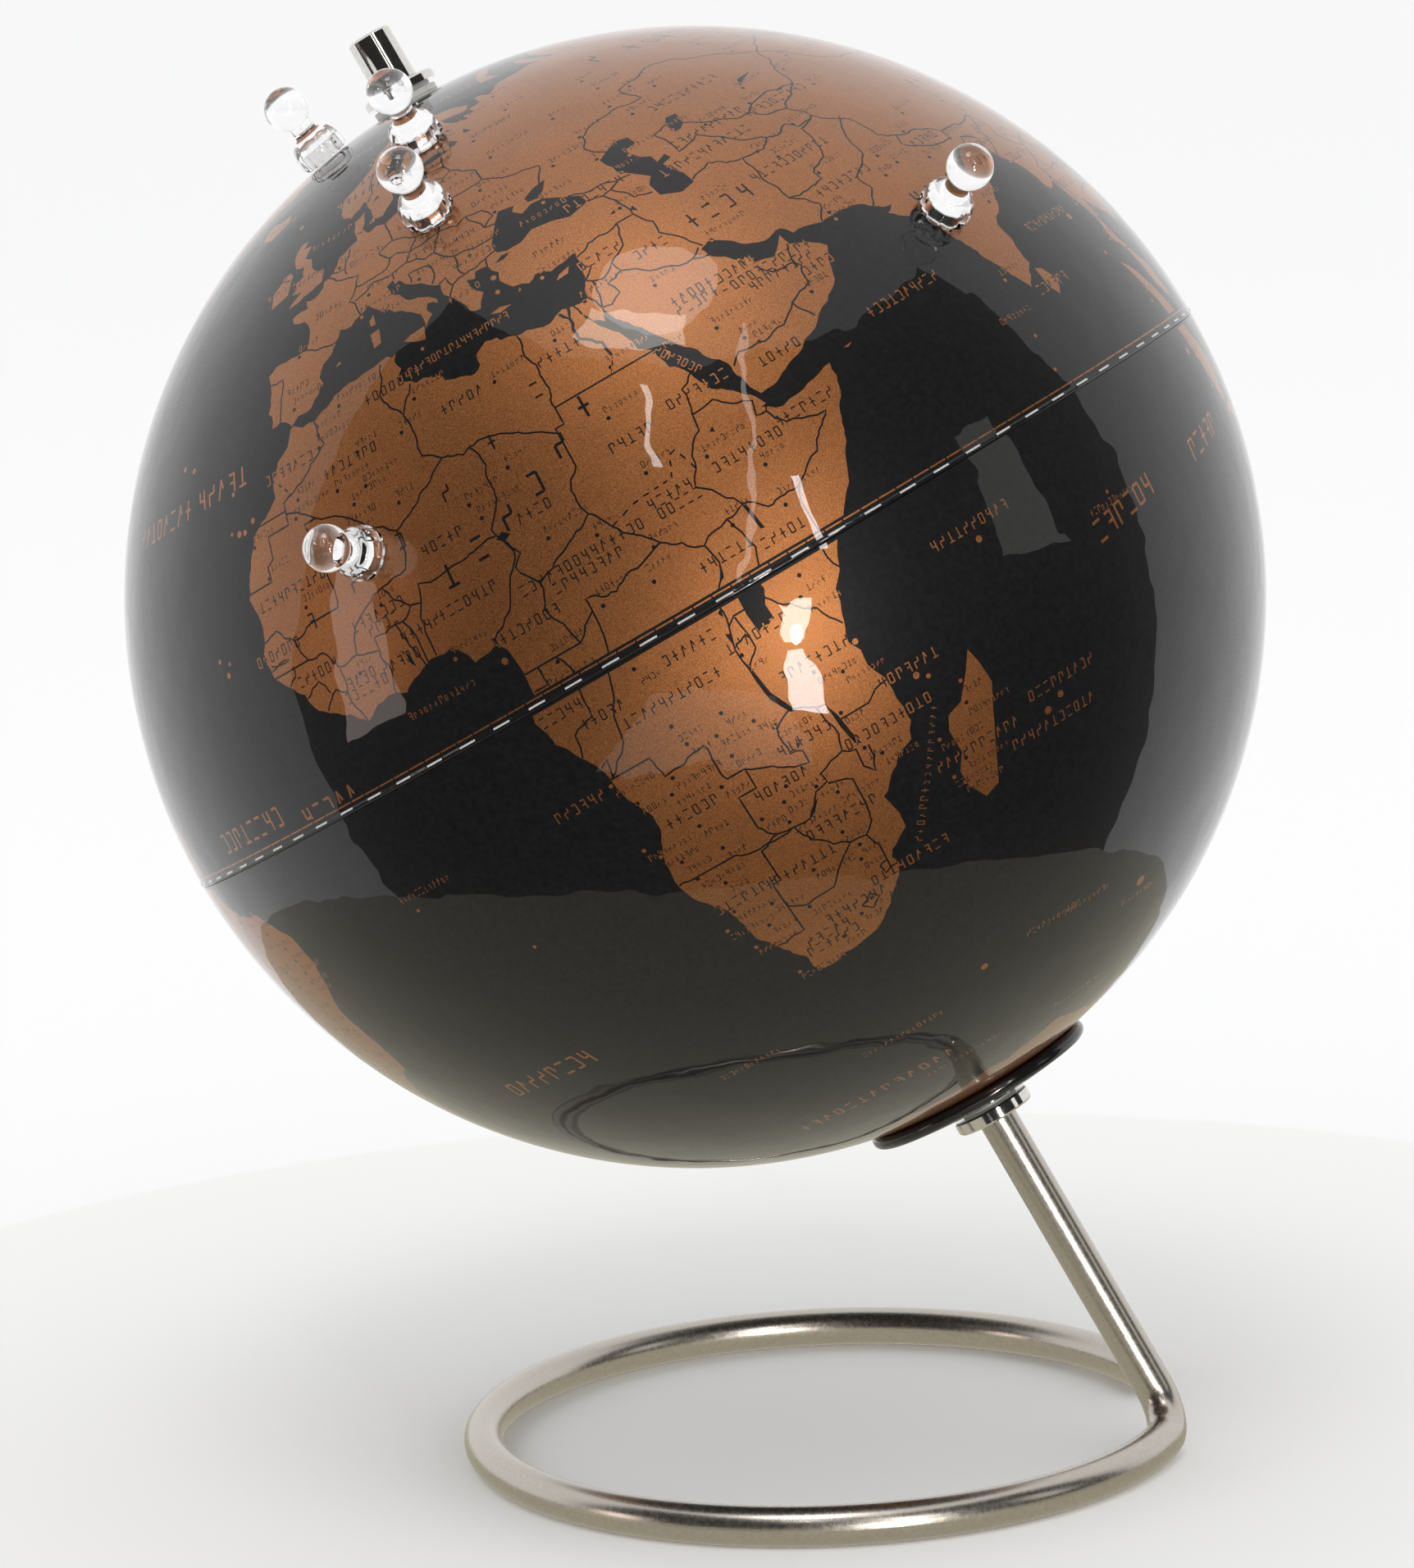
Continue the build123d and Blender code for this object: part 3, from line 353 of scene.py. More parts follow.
    [(20.6, 69.1), (16, 67.9), (14.3, 65), (12.2, 62.5), (12.5, 60.3), (11.3, 59)],
    [(-7.3, 55), (-8, 54.5), (-6.2, 54.1)],
    # Middle East and central Asia
    [(36, 36), (38, 36.8), (42.4, 37.2), (44.8, 37.2), (44.5, 39.7), (43.6, 41.1), (41.5, 41.5)],
    [(40, 43.4), (43.8, 42.6), (46.5, 41.9), (48.5, 41.8)], [(43.6, 41.1), (45, 41.3), (46.5, 41.8)],
    [(45, 41.3), (46.5, 39), (48.8, 38.4)], [(42.4, 37.2), (41.2, 34.5), (38.8, 33.4)],
    [(44.8, 37.2), (46, 35.2), (45.6, 33.7), (47.7, 31), (48.5, 29.9)],
    [(35.7, 32.7), (36.8, 32.3), (38.8, 33.4), (39.1, 32.1), (37, 31.5), (37.5, 30), (36, 29.2),
     (34.9, 29.5)],
    [(34.9, 29.5), (35.5, 31.5), (35.7, 32.7), (35.1, 33.1)], [(34.2, 31.3), (34.9, 29.5)],
    [(35.1, 33.1), (36.6, 34.2), (36, 34.6)], [(39.1, 32.1), (44.7, 29.2), (46.5, 29.1), (48.4, 28.5)],
    [(46.5, 29.1), (47.9, 30)], [(32.3, 31.3), (32.6, 30)],
    [(42.8, 16.4), (44, 17.4), (47, 17), (52, 19), (55, 20), (55.7, 22), (55.2, 22.7), (52.6, 22.9),
     (51.6, 24.2)],
    [(52, 19), (53.1, 16.7)], [(55.2, 22.7), (55.8, 24.2), (56.3, 24.9)],
    [(53.9, 37.3), (57.3, 38.2), (61.2, 36.6), (60.6, 33.5), (61, 31.5), (60.9, 29.8), (63.2, 27.2),
     (61.6, 25.2)],
    [(60.9, 29.8), (66.3, 29.9), (66.3, 31), (69.3, 32), (71, 34.5), (71.5, 36.3), (74.9, 37.2)],
    [(61.2, 36.6), (64.5, 36.3), (66.5, 37.4), (68, 37), (70.5, 37.8), (71.5, 36.7), (74.9, 37.2)],
    [(66.5, 37.4), (62.5, 40), (60, 42.2), (56, 41.3), (55.9, 45), (58.6, 45.5), (61, 44.4), (66.5, 41.5),
     (69, 41.4), (71, 42.3), (75, 42.9), (80.2, 42.2)],
    [(69, 41.4), (70.5, 40), (73.7, 39.5)],
    [(48.9, 46.2), (47, 48.2), (48.5, 50), (54, 51.2), (61.5, 51), (61, 53.9), (70, 55.3), (76, 54.3),
     (77, 53.3), (83, 50.9), (87.3, 49.1), (85.6, 47.1), (82.5, 45.3), (80.2, 42.2), (75, 40.4),
     (73.7, 39.5), (74.9, 37.2), (78.5, 34.5), (78.8, 31.3), (81, 30.2), (88.1, 27.9), (92, 27.9),
     (97.3, 28.2), (98.7, 25.9), (97.6, 24), (101.1, 21.6), (102.1, 22.4), (105.3, 23.3), (108, 21.6)],
    # south and east Asia
    [(81, 30.2), (80.1, 28.8), (85, 26.6), (88.1, 26.4), (88.1, 27.9)],
    [(88.9, 21.8), (88.1, 24.5), (89.8, 26), (92.4, 24.9), (91.2, 23.5), (92.3, 20.8)],
    [(92.3, 22), (94.2, 24), (97.3, 28.2)],
    [(68.2, 23.7), (70.3, 25.8), (70, 27.8), (73.9, 30), (74.6, 32.3), (77.8, 35.5)],
    [(101.1, 21.6), (99.9, 20.4), (97.7, 18.6), (98.5, 15.3), (99.2, 11.8), (98.8, 10.2)],
    [(99.9, 20.4), (101, 17.6), (104, 18.3), (105.5, 14.5), (102.5, 13.7), (102.9, 11.7)],
    [(102.1, 22.4), (104.8, 20.2), (105.2, 18.6), (107.5, 14.7), (105.5, 14.5)],
    [(107.5, 14.7), (107.5, 12.3), (106, 11.2), (104.5, 10.4)], [(100.2, 6.5), (102, 6.2)],
    [(87.3, 49.1), (92, 45), (96.5, 42.8), (105, 41.6), (111.8, 43.7), (119.7, 46.7), (116.7, 49.9),
     (108.5, 49.4), (102.3, 50.6), (98.3, 52.1), (92, 50.8), (87.3, 49.1)],
    [(116.7, 49.9), (120.7, 53.3), (125.6, 53), (127.5, 49.8), (131, 47.7), (134.7, 48.4), (133.1, 45.1),
     (131.3, 43), (130.7, 42.3), (128, 42), (124.4, 40)],
    [(126.7, 37.8), (128.4, 38.6)], [(109.6, 2), (111.5, 1), (114.8, 1.5), (115.8, 4.3), (117.8, 4.1)],
    [(141, -2.6), (141, -9.1)],
    # Americas
    [(-123, 49), (-95.2, 49), (-89.5, 48), (-84.5, 46.5), (-82.5, 42.5), (-79, 43.3), (-76.5, 44.2),
     (-74.7, 45), (-71.4, 45.1), (-69, 47.4), (-67.8, 45.7), (-67, 44.9)],
    [(-141, 69.6), (-141, 60.3), (-135.5, 59.8), (-130, 55.5)],
    [(-117.1, 32.5), (-111, 31.3), (-106.5, 31.8), (-103.2, 29), (-101.4, 29.8), (-99.5, 27.5),
     (-97.2, 25.9)],
    [(-92.2, 14.5), (-91.5, 16.1), (-90.5, 17.8), (-89.2, 17.9), (-88.3, 18.5)],
    [(-88.3, 15.7), (-89.3, 14.4), (-87.5, 13.3)], [(-87.3, 13), (-83.2, 15)], [(-85.7, 11.1), (-83.7, 10.9)],
    [(-82.9, 8.1), (-82.6, 9.6)], [(-77.3, 8.6), (-77.8, 7.3)],
    [(-71.3, 11.9), (-72.4, 9), (-70, 7), (-67.4, 6.1), (-67, 1.2), (-69.8, 1.7), (-69.4, -1.1),
     (-69.9, -4.2), (-73.8, -7.3), (-70.6, -11), (-68.7, -12.6), (-69.5, -17.5), (-70.4, -18.3)],
    [(-67, 1.2), (-64, 1.7), (-63.5, 4), (-60.7, 5.2), (-61.3, 6), (-59.8, 8.3)],
    [(-60.7, 5.2), (-59.8, 1.3), (-56.5, 1.9), (-52.9, 2.2), (-51.7, 4.1)],
    [(-57.2, 5.5), (-58, 3.9), (-56.5, 1.9)], [(-54, 5.7), (-54.5, 2.3)],
    [(-78.8, 1.4), (-75.3, -.1), (-70.1, -2.7), (-69.9, -4.2)], [(-75.3, -.1), (-78.3, -3.4), (-80.3, -3.4)],
    [(-69.5, -11), (-65.4, -9.8), (-65.3, -11.9), (-60.2, -13.6), (-60.2, -16.3), (-57.5, -18),
     (-58.2, -20), (-62, -20.5), (-62.7, -22.2), (-67, -22.8), (-69.5, -17.5)],
    [(-67, -22.8), (-68.4, -26.5), (-70, -31), (-70.4, -35.5), (-71.8, -40), (-71.8, -44.5), (-72.5, -49),
     (-72, -52), (-68.4, -52.4)],
    [(-58.2, -20), (-55.7, -22.3), (-54.6, -25.5), (-58.6, -27.3), (-57.8, -25.3), (-62.7, -22.2)],
    [(-54.6, -25.5), (-53.8, -27.1), (-57.6, -30.2), (-53.4, -33.7)], [(-57.6, -30.2), (-58.3, -33.5)],
]
DASHED_BORDERS = [
    [(24.2, 8.7), (27, 9.6), (29.5, 9.8), (31.5, 9.9), (32.5, 12), (33.2, 12.2), (34, 9.5)],
    [(-9, 30.9), (-7.4, 29.3), (-8.7, 28.7)], [(55.2, 22.7), (55.2, 20.2), (54.2, 19.2)],
    [(129, -14.9), (129, -31.7)], [(138, -16.5), (138, -26)], [(129, -26), (141, -26), (141, -38)],
    [(141, -29), (153.4, -28.5)], [(141, -34), (150, -37.4)], [(-120, 49), (-120, 60), (-141, 60)],
    [(-110, 49), (-110, 60)], [(-102, 49), (-102, 60), (-94.6, 60)], [(-120, 60), (-102, 60)],
    [(-114, 37), (-102, 37), (-94.6, 37)], [(-104, 49), (-104, 41), (-102, 37), (-103, 32)],
    [(-111, 45), (-104, 45), (-96.5, 45.5)], [(-114, 42), (-120, 42), (-120, 39), (-114.6, 35)],
    [(-66.5, 51), (-58, 52)], [(-91.5, 44), (-90.5, 42), (-91.4, 40), (-89.4, 36.5), (-91.2, 33), (-91, 31)],
    [(-53, -5), (-50, -12), (-46, -15), (-40, -16)], [(-60, -8), (-52, -9.5)],
]
# Larger rivers: black on land.
RIVERS = [
    [(31.2, 30.3), (30.9, 27.5), (32.8, 25.7), (32.9, 23.8)], [(30.4, 31.3), (31.2, 30.3), (31.7, 31.4)],
]
# Rows of marks that stand in for the map's lettering: (longitude, latitude, marks in the row).
COUNTRY_ROWS = [
    (1.5, 29, 7), (16.5, 28.4, 5), (28.3, 27.4, 5), (-7, 31.9, 7), (-10.6, 19.4, 10), (8.4, 16, 5),
    (18.3, 14, 4), (30.2, 15.4, 5), (38.4, 16.3, 7), (39.3, 8.6, 8), (46.4, 9.4, 7), (38, 1.8, 5),
    (32.3, 2.4, 6), (30.6, 8.6, 5), (31, 7.4, 5), (20.2, 7.6, 14), (20.2, 6.2, 8), (8.2, 9.6, 7),
    (2.4, 9.5, 5), (-1.4, 12.9, 7), (-1.2, 11.8, 4), (-1, 7.7, 5), (-6, 8.2, 4), (-6, 7, 6),
    (12.2, 4.7, 8), (11.6, -.9, 5), (15.1, -2.2, 5), (21.6, -3.4, 11), (25.4, -1.3, 6), (31.6, -2.6, 7),
    (35.2, -5.7, 8), (17.4, -12, 6), (8.2, -6.6, 6), (26.4, -13.8, 6), (30.6, -11.3, 6),
    (38.8, -13.8, 10), (30, -19.4, 8), (23.6, -21.8, 8), (17, -21.6, 7), (22.2, -30.4, 5),
    (22.2, -31.7, 6), (26.6, -28.9, 7), (34.4, -27.4, 9), (46.5, -20.2, 10), (43, -10.6, 7),
    (55.4, -3.6, 10), (58.4, -18.8, 9), (56, -22.4, 11), (-10.8, 10.8, 6), (-15, 14.6, 7),
    (44, 25.6, 5), (44.4, 24.3, 6), (43.6, 32.7, 4), (38.2, 34.8, 5), (34, 38.9, 6), (47.6, 15.4, 5),
    (53.2, 23.8, 10), (53.6, 22.6, 8), (49.6, 25.4, 5), (43, 42, 7), (9.4, 34, 7), (57.4, 21.2, 4),
    (67, 48.6, 10), (62.6, 42.4, 10), (59, 39.8, 12), (74.6, 41.3, 10), (66, 33.8, 11), (68.4, 28.4, 8),
    (84, 28.1, 5), (104, 46.6, 8), (96, 21, 7), (101, 15.8, 8), (114, -.6, 9), (122.4, 14.4, 11),
    (138, 36.4, 5), (113, 4, 8), (105.6, 17.6, 4), (90, 24, 10), (-4, 39.8, 5), (2.4, 46.8, 6),
    (12.5, 42.7, 5), (10.2, 51, 7), (19, 52.2, 6), (31.4, 49.3, 7), (24.8, 46, 7), (21.9, 39.3, 6),
    (15.6, 63.6, 6), (9.4, 61.4, 6), (26.4, 63, 7), (25.2, 42.7, 8), (28, 53.6, 7), (-1.6, 52.8, 7),
    (-8, 53.3, 7), (24.4, 55.2, 9), (25.6, 58.8, 7), (19.4, 47, 7), (-102, 24, 6), (-65, -34, 9),
    (-70.6, -30, 5), (-75, -9, 4), (-64.4, -17, 7), (-73, 4.2, 8), (-66, 7.4, 9), (-58.6, -23.2, 8),
    (-56, -32.8, 7), (-78.4, -1.4, 7), (-42, 72, 9), (-152, 65, 6), (172, -42, 10), (145, -6.4, 8),
    (-18.6, 64.9, 7), (-79, 21.6, 4), (121, 23.8, 6), (127.6, 38.4, 5), (80.8, 7.4, 6),
]
GRAND_ROWS = [
    (54, 33, 4), (79, 22, 5), (104, 35, 5), (96, 60, 6), (-106, 57.6, 6), (-100, 40, 12), (-54, -9.4, 6),
    (134, -25.4, 9),
]
# Wide-spaced rows over a continent: (longitude, latitude) of both ends, marks, height in mm.
SPREAD_ROWS = [
    ((7.4, 12.6), (27.4, 20.6), 6, 4.6), ((-9.4, 15.6), (24, 24.8), 6, 3.2),
    ((70, 62), (132, 56), 8, 4.4), ((-122, 50), (-82, 50), 13, 4), ((-66, -22), (-46, -3), 7, 4),
]
# Rows on the water: (longitude, latitude), marks, height in mm, pitch in mm, slope in degrees.
SEA_ROWS = [
    (63, 14.2, 10, 2.2, 1.9, 0), (18.6, 34.3, 17, 1.7, 1.3, 0), (38.4, 19.8, 7, 1.7, 1.4, -58),
    (74, -8.6, 6, 4.4, 3.5, 8), (93, -7.2, 5, 4.4, 3.5, 8), (-31, 2, 8, 4, 3.4, 0), (-17, 1, 5, 4, 3.4, 0),
    (-34, 34, 8, 4, 3.4, 0), (-19, 34, 5, 4, 3.4, 0), (88.5, 13.5, 11, 1.9, 1.7, 0), (-20, -30, 8, 4, 3.4, 0),
    (150, 30, 7, 4, 3.6, 0), (170, 31, 5, 4, 3.6, 0), (-150, -20, 7, 4.4, 3.8, 0),
    (-126, -20, 5, 4.4, 3.8, 0),
    (-140, 30, 7, 4.4, 3.8, 0), (-118, 28, 5, 4.4, 3.8, 0), (160, -36, 10, 1.9, 1.7, 0),
    (115, 14, 15, 1.7, 1.4, 70), (36, 43.3, 8, 1.5, 1.3, 0), (3, 56.8, 8, 1.5, 1.3, 0),
    (19.6, 58.6, 9, 1.4, 1.2, 70), (5, 71, 12, 1.7, 1.5, 0), (40, 73, 10, 1.7, 1.5, 0),
    (-88, 25.4, 14, 1.7, 1.4, 0), (-75, 15, 13, 1.7, 1.4, 0), (-60, 58, 11, 1.7, 1.5, -40),
    (-86, 60, 9, 1.7, 1.5, 60), (-170, 56, 9, 1.7, 1.5, 0), (150, 54, 12, 1.7, 1.5, 0),
    (57, -46.4, 10, 1.5, 1.2, 0), (69.5, -51, 9, 1.5, 1.2, 0), (50.5, -46, 11, 1.5, 1.2, 0),
    (14, 1, 8, 1.5, 1.3, 0), (1, 3.4, 13, 1.5, 1.25, 0), (72.5, -7.4, 12, 1.4, 1.15, 0),
    (73, 6.6, 8, 1.4, 1.2, 0), (40, -20, 17, 1.6, 1.6, 60), (130, -47, 13, 3, 2.8, 0),
    (10, -58, 13, 3, 2.8, 0), (-90, -60, 13, 3, 2.8, 0), (2, -42, 12, 1.4, 1.2, 0),
    (22, -50, 15, 1.4, 1.2, 0),
    (29, -60.5, 14, 1.4, 1.2, 0), (60, -62, 12, 1.4, 1.2, 0), (-12, -6.4, 12, 1.4, 1.2, 0),
]
# ---- places from the frame ------------------------------------------------------------------
spin = next(j for j in frame["joints"] if j["name"] == "globe_spin")
centre = Vector(spin["pos_m"])
axis = Vector(spin["axis"]).normalized()
side_x = Vector((axis.z, 0, -axis.x))                  # the globe's own X at rest, in the leg's plane
side_y = axis.cross(side_x)
globe_r = max((v.co - centre).length for v in frame["nodes"]["south_hemisphere"].data.vertices)
shell_t = 0.5 * MM
degree = math.radians(1)
mm_to_degrees = MM / (globe_r * degree)

# ---- how the map is printed on the halves -----------------------------------------------------
seam_latitude = 0.025          # each half's rim stands this far from the equator
pole_hole_latitude = 90 - math.degrees(math.asin(7 * MM / globe_r))
turn_of_print = {1: -103.15, -1: -103.7}      # longitude of the print's zero, north and south half
print_sway = 2.0                               # sideways stretch of the sheet, degrees
print_sway_at = 32.0
# How far the pressed sheet carries the print towards the rim's far side: (latitude, shift).
press_stretch = {
    1: [(0, 0), (5, 2.6), (13, 2.1), (20, 1.8), (24, 1.5), (30, .6), (37, .4), (50, 0), (90, 0)],
    -1: [(0, 0), (6, 3.1), (12, 3.35), (18, 3.9), (27, 3.65), (35, 2.3), (50, 1.2), (90, 0)],
}
coast_step = 0.9               # coasts are broken into pieces about this long, degrees
coast_rough = 0.11             # sideways wander of a coast's midpoints, share of the piece
island_points = 14             # outlines with no more points than this are kept as they are
border_width = 0.36            # millimetres
river_width = 0.6
name_height = 2.1
name_pitch = 1.9
city_height = 1.3
city_pitch = 1.05
stroke_share = 0.13            # width of a mark's stroke, share of its height
city_dot_r = 0.42
surface_step = 1.5             # spacing of the surface's own points, degrees
inner_step = 5                 # the same on the inside
rim_sides = 720                # points round the seam
hole_sides = 64                # points round the pole hole
small_mark = 0.72              # size of a row's lesser marks
even_height = 1.6              # rows taller than this have marks of one size, millimetres
grand_height = 3.6             # rows of the widest countries
grand_pitch = 4.2
crowded_height = 0.7           # share of the usual size where countries are close together
crowded_pitch = 0.62
spread_bow = 1.2               # sag of a row spread over a continent, degrees
most_cities = 230              # on each half
city_tries = 26000
print_seed = 11

# The band along the north half's rim, in degrees of latitude.
band_top = 1.3
white_row = (0.32, 0.50)
copper_row = (0.88, 1.04)
south_band = 0.3
cell = 2.0                     # length of a cell, degrees of longitude
bead_top = 0.55                # the rolled bead ends here
bead_proud = 0.25 * MM

SEA, COPPER, WHITE = 0, 1, 2


def between(table, x):
    """Straight-line interpolation in a list of (x, y) pairs."""
    for (x0, y0), (x1, y1) in zip(table, table[1:]):
        if x <= x1:
            return y0 + (y1 - y0) * (x - x0) / (x1 - x0)
    return table[-1][1]


def printed(lon, lat, side):
    """Where a place of the map lands on one half: (longitude, latitude) on the ball."""
    sway = print_sway * math.sin((lon - print_sway_at) * degree)
    shift = between(press_stretch[side], lat * side) if lat * side > 0 else 0
    return lon + turn_of_print[side] - sway, lat + side * shift


def flat(lon, lat, side):
    """A place on the ball in the half's flat plan: degrees from its pole, turned by longitude."""
    from_pole = 90 - side * lat
    return Vector((from_pole * math.cos(lon * degree), from_pole * math.sin(lon * degree)))


def plan(lon, lat, side):
    """A place of the map in the half's flat plan."""
    return flat(*printed(lon, lat, side), side)


def on_ball(point, side, radius):
    """A point of the flat plan on the ball, in the row frame."""
    from_pole = math.hypot(point[0], point[1])
    turn = math.atan2(point[1], point[0])
    up = side * math.cos(from_pole * degree)
    out = math.sin(from_pole * degree)
    direction = axis * up + side_x * (out * math.cos(turn)) + side_y * (out * math.sin(turn))
    return centre + direction * radius


def roughened(points, closed, step, rough, rng):
    """A coast or border with natural wander: midpoints of long stretches are moved sideways."""
    ends = points[1:] + points[:1] if closed else points[1:]
    result = []
    for start, end in zip(points, ends):
        end = (end[0] + 360 * round((start[0] - end[0]) / 360), end[1])
        stretch = [start, end]
        straight = abs(start[0] - end[0]) < 0.05 or abs(start[1] - end[1]) < 0.05
        while True:
            widest = max(math.hypot((b[0] - a[0]) * math.cos(a[1] * degree), b[1] - a[1])
                         for a, b in zip(stretch, stretch[1:]))
            if widest < step:
                break
            finer = [stretch[0]]
            for a, b in zip(stretch, stretch[1:]):
                shrink = max(math.cos(a[1] * degree), 0.15)
                along = ((b[0] - a[0]) * shrink, b[1] - a[1])
                push = 0 if straight and not closed else rng.uniform(-rough, rough)
                middle = ((a[0] + b[0]) / 2 - along[1] * push / shrink, (a[1] + b[1]) / 2 + along[0] * push)
                finer += [middle, b]
            stretch = finer
        result += stretch[:-1]
    if not closed:
        result.append(points[-1])
    return result


def inside(point, outline):
    """True if a (longitude, latitude) point is in a closed outline."""
    x, y = point
    hit = False
    for (x0, y0), (x1, y1) in zip(outline, outline[1:] + outline[:1]):
        if (y0 > y) != (y1 > y) and x < x0 + (x1 - x0) * (y - y0) / (y1 - y0):
            hit = not hit
    return hit


# ---- marks that stand in for lettering --------------------------------------------------------
# No row of them spells anything, but some look like a digit or a letter: the box like 0, others
# like 4, 1 or a plus.
# Each mark is a few strokes in a box one unit high: (x0, y0, x1, y1) of each stroke's centre line.
MARKS = [
    [(.52, 0, .52, 1), (.52, .94, .1, .94), (.52, .5, .18, .5)],
    [(.3, 0, .3, 1), (.02, .06, .58, .06)],
    [(.08, .06, .52, .06), (.52, .06, .52, .94), (.52, .94, .08, .94)],
    [(.08, 0, .08, 1), (.08, .94, .52, .94), (.52, .94, .52, .5)],
    [(.04, .06, .56, .06), (.04, .94, .56, .94)],
    [(.05, 0, .3, 1), (.3, 1, .45, .5)],
    [(.5, 0, .5, 1), (.5, .5, .1, .5), (.1, .5, .1, 1)],
    [(.08, 0, .08, .6), (.08, .6, .52, .6), (.52, .6, .52, 1)],
    [(.3, 0, .3, 1), (.05, .5, .55, .5)],
    [(.08, .06, .52, .06), (.52, .06, .52, .94), (.52, .94, .08, .94), (.08, .94, .08, .06)],
]


def stroke(line, width):
    """The four corners of a straight stroke."""
    x0, y0, x1, y1 = line
    length = math.hypot(x1 - x0, y1 - y0)
    nx = -(y1 - y0) / length * width / 2
    ny = (x1 - x0) / length * width / 2
    return [(x0 + nx, y0 + ny), (x1 + nx, y1 + ny), (x1 - nx, y1 - ny), (x0 - nx, y0 - ny)]


def row_of_marks(rng, count, height, pitch):
    """Strokes of a row of marks in millimetres, centred on (0, 0)."""
    quads = []
    for number in range(count):
        left = (number - count / 2) * pitch + 0.1 * pitch
        scale = 1.0 if number == 0 else rng.choice((small_mark, small_mark, 1.0))
        if height > even_height:
            scale = 1.0
        for line in rng.choice(MARKS):
            corners = stroke(line, stroke_share)
            quads.append([(left + x * height * 0.95 * scale, (y * scale - 0.5) * height)
                          for x, y in corners])
    return quads


def placed(quads, lon, lat, side, slope=0):
    """Millimetre corners about a place on the ball, as corners in the flat plan."""
    turn_cos = math.cos(slope * degree)
    turn_sin = math.sin(slope * degree)
    result = []
    for quad in quads:
        corners = []
        for x, y in quad:
            across = x * turn_cos - y * turn_sin
            up = x * turn_sin + y * turn_cos
            high = lat + up * mm_to_degrees
            shrink = max(math.cos(high * degree), 0.1)
            corners.append(flat(lon + across * mm_to_degrees / shrink, high, side))
        result.append(corners)
    return result


def dot(radius, sides=12):
    """A round dot's corners in millimetres."""
    return [(radius * math.cos(k * 2 * math.pi / sides), radius * math.sin(k * 2 * math.pi / sides))
            for k in range(sides)]


def ribbon(points, width, side):
    """A line of the map as a chain of four-cornered pieces in the flat plan."""
    line = [plan(lon, lat, side) for lon, lat in points]
    half = width / 2 * mm_to_degrees
    left = []
    right = []
    for index, point in enumerate(line):
        before = line[max(index - 1, 0)]
        after = line[min(index + 1, len(line) - 1)]
        along = after - before
        if along.length < 1e-6:
            continue
        # Sideways distances grow with distance from the pole in the flat plan.
        from_pole = max(point.length, 1e-3)
        stretch = from_pole * degree / max(math.sin(min(from_pole, 120) * degree), 0.05)
        outward = point / from_pole
        sideways = Vector((-along.y, along.x)).normalized()
        radial = sideways.dot(outward)
        round_part = sideways - outward * radial
        offset = (outward * radial + round_part * stretch) * half
        left.append(point + offset)
        right.append(point - offset)
    pieces = []
    for k in range(len(left) - 1):
        pieces += [[left[k], left[k + 1], right[k + 1]], [left[k], right[k + 1], right[k]]]
    return pieces


# ---- everything that is printed ----------------------------------------------------------------
def printed_rows(side, land, rng):
    """All the rows of marks and city dots of one half."""
    quads = []
    taken = []

    def free(lon, lat, half_width, half_height):
        for other_lon, other_lat, other_width, other_height in taken:
            shrink = math.cos(lat * degree)
            if (abs(lon - other_lon) * shrink < half_width + other_width
                    and abs(lat - other_lat) < half_height + other_height):
                return False
        return True

    def add(lon, lat, count, height, pitch, slope=0):
        row = row_of_marks(rng, count, height, pitch)
        if lat * side <= 0:
            return
        place = printed(lon, lat, side)
        quads.extend(placed(row, *place, side, slope))
        taken.append((lon, lat, count * pitch * mm_to_degrees / 2, height * mm_to_degrees / 2))

    for lon, lat, count in COUNTRY_ROWS:
        crowded = 35 < lat < 60 and -12 < lon < 35
        add(lon, lat, count, name_height * (crowded_height if crowded else 1),
            name_pitch * (crowded_pitch if crowded else 1))
    for lon, lat, count in GRAND_ROWS:
        add(lon, lat, count, grand_height, grand_pitch)
    for lon, lat, count, height, pitch, slope in SEA_ROWS:
        add(lon, lat, count, height, pitch, slope)
    for (lon0, lat0), (lon1, lat1), count, height in SPREAD_ROWS:
        for number in range(count):
            share = number / (count - 1)
            bow = math.sin(share * math.pi) * spread_bow
            add(lon0 + (lon1 - lon0) * share, lat0 + (lat1 - lat0) * share - bow, 1, height, height * 0.5)

    cities = 0
    for _ in range(city_tries):
        lon = rng.uniform(-180, 180)
        lat = math.degrees(math.asin(rng.uniform(-0.86, 0.93)))
        count = rng.randint(4, 9)
        if lat * side <= 1.6 or cities >= most_cities:
            continue
        on_land = any(inside((lon, lat), outline) or inside((lon + 360, lat), outline) for outline in land)
        if not on_land:
            continue
        half_width = count * city_pitch * mm_to_degrees / 2
        if not free(lon, lat, half_width + 0.5, 0.75):
            continue
        add(lon, lat, count, city_height, city_pitch)
        cities += 1
        place = printed(lon - half_width / math.cos(lat * degree), lat - 0.9 * side, side)
        quads.extend(placed([dot(city_dot_r)], *place, side))
    return quads


def band_cells(side):
    """Cells of the band by the seam: (corners in the flat plan, what is printed there)."""
    cells = []
    if side < 0:
        return cells
    for number in range(int(360 / cell)):
        start = number * cell
        pieces = [(copper_row, start + 0.08, start + cell - 0.08, COPPER)]
        if number % 2:
            pieces.append((white_row, start + 0.1, start + cell - 0.1, WHITE))
        for (low, high), west, east, what in pieces:
            corners = [flat(west, low, side), flat(east, low, side),
                       flat(east, high, side), flat(west, high, side)]
            cells.append((corners, what))
    return cells


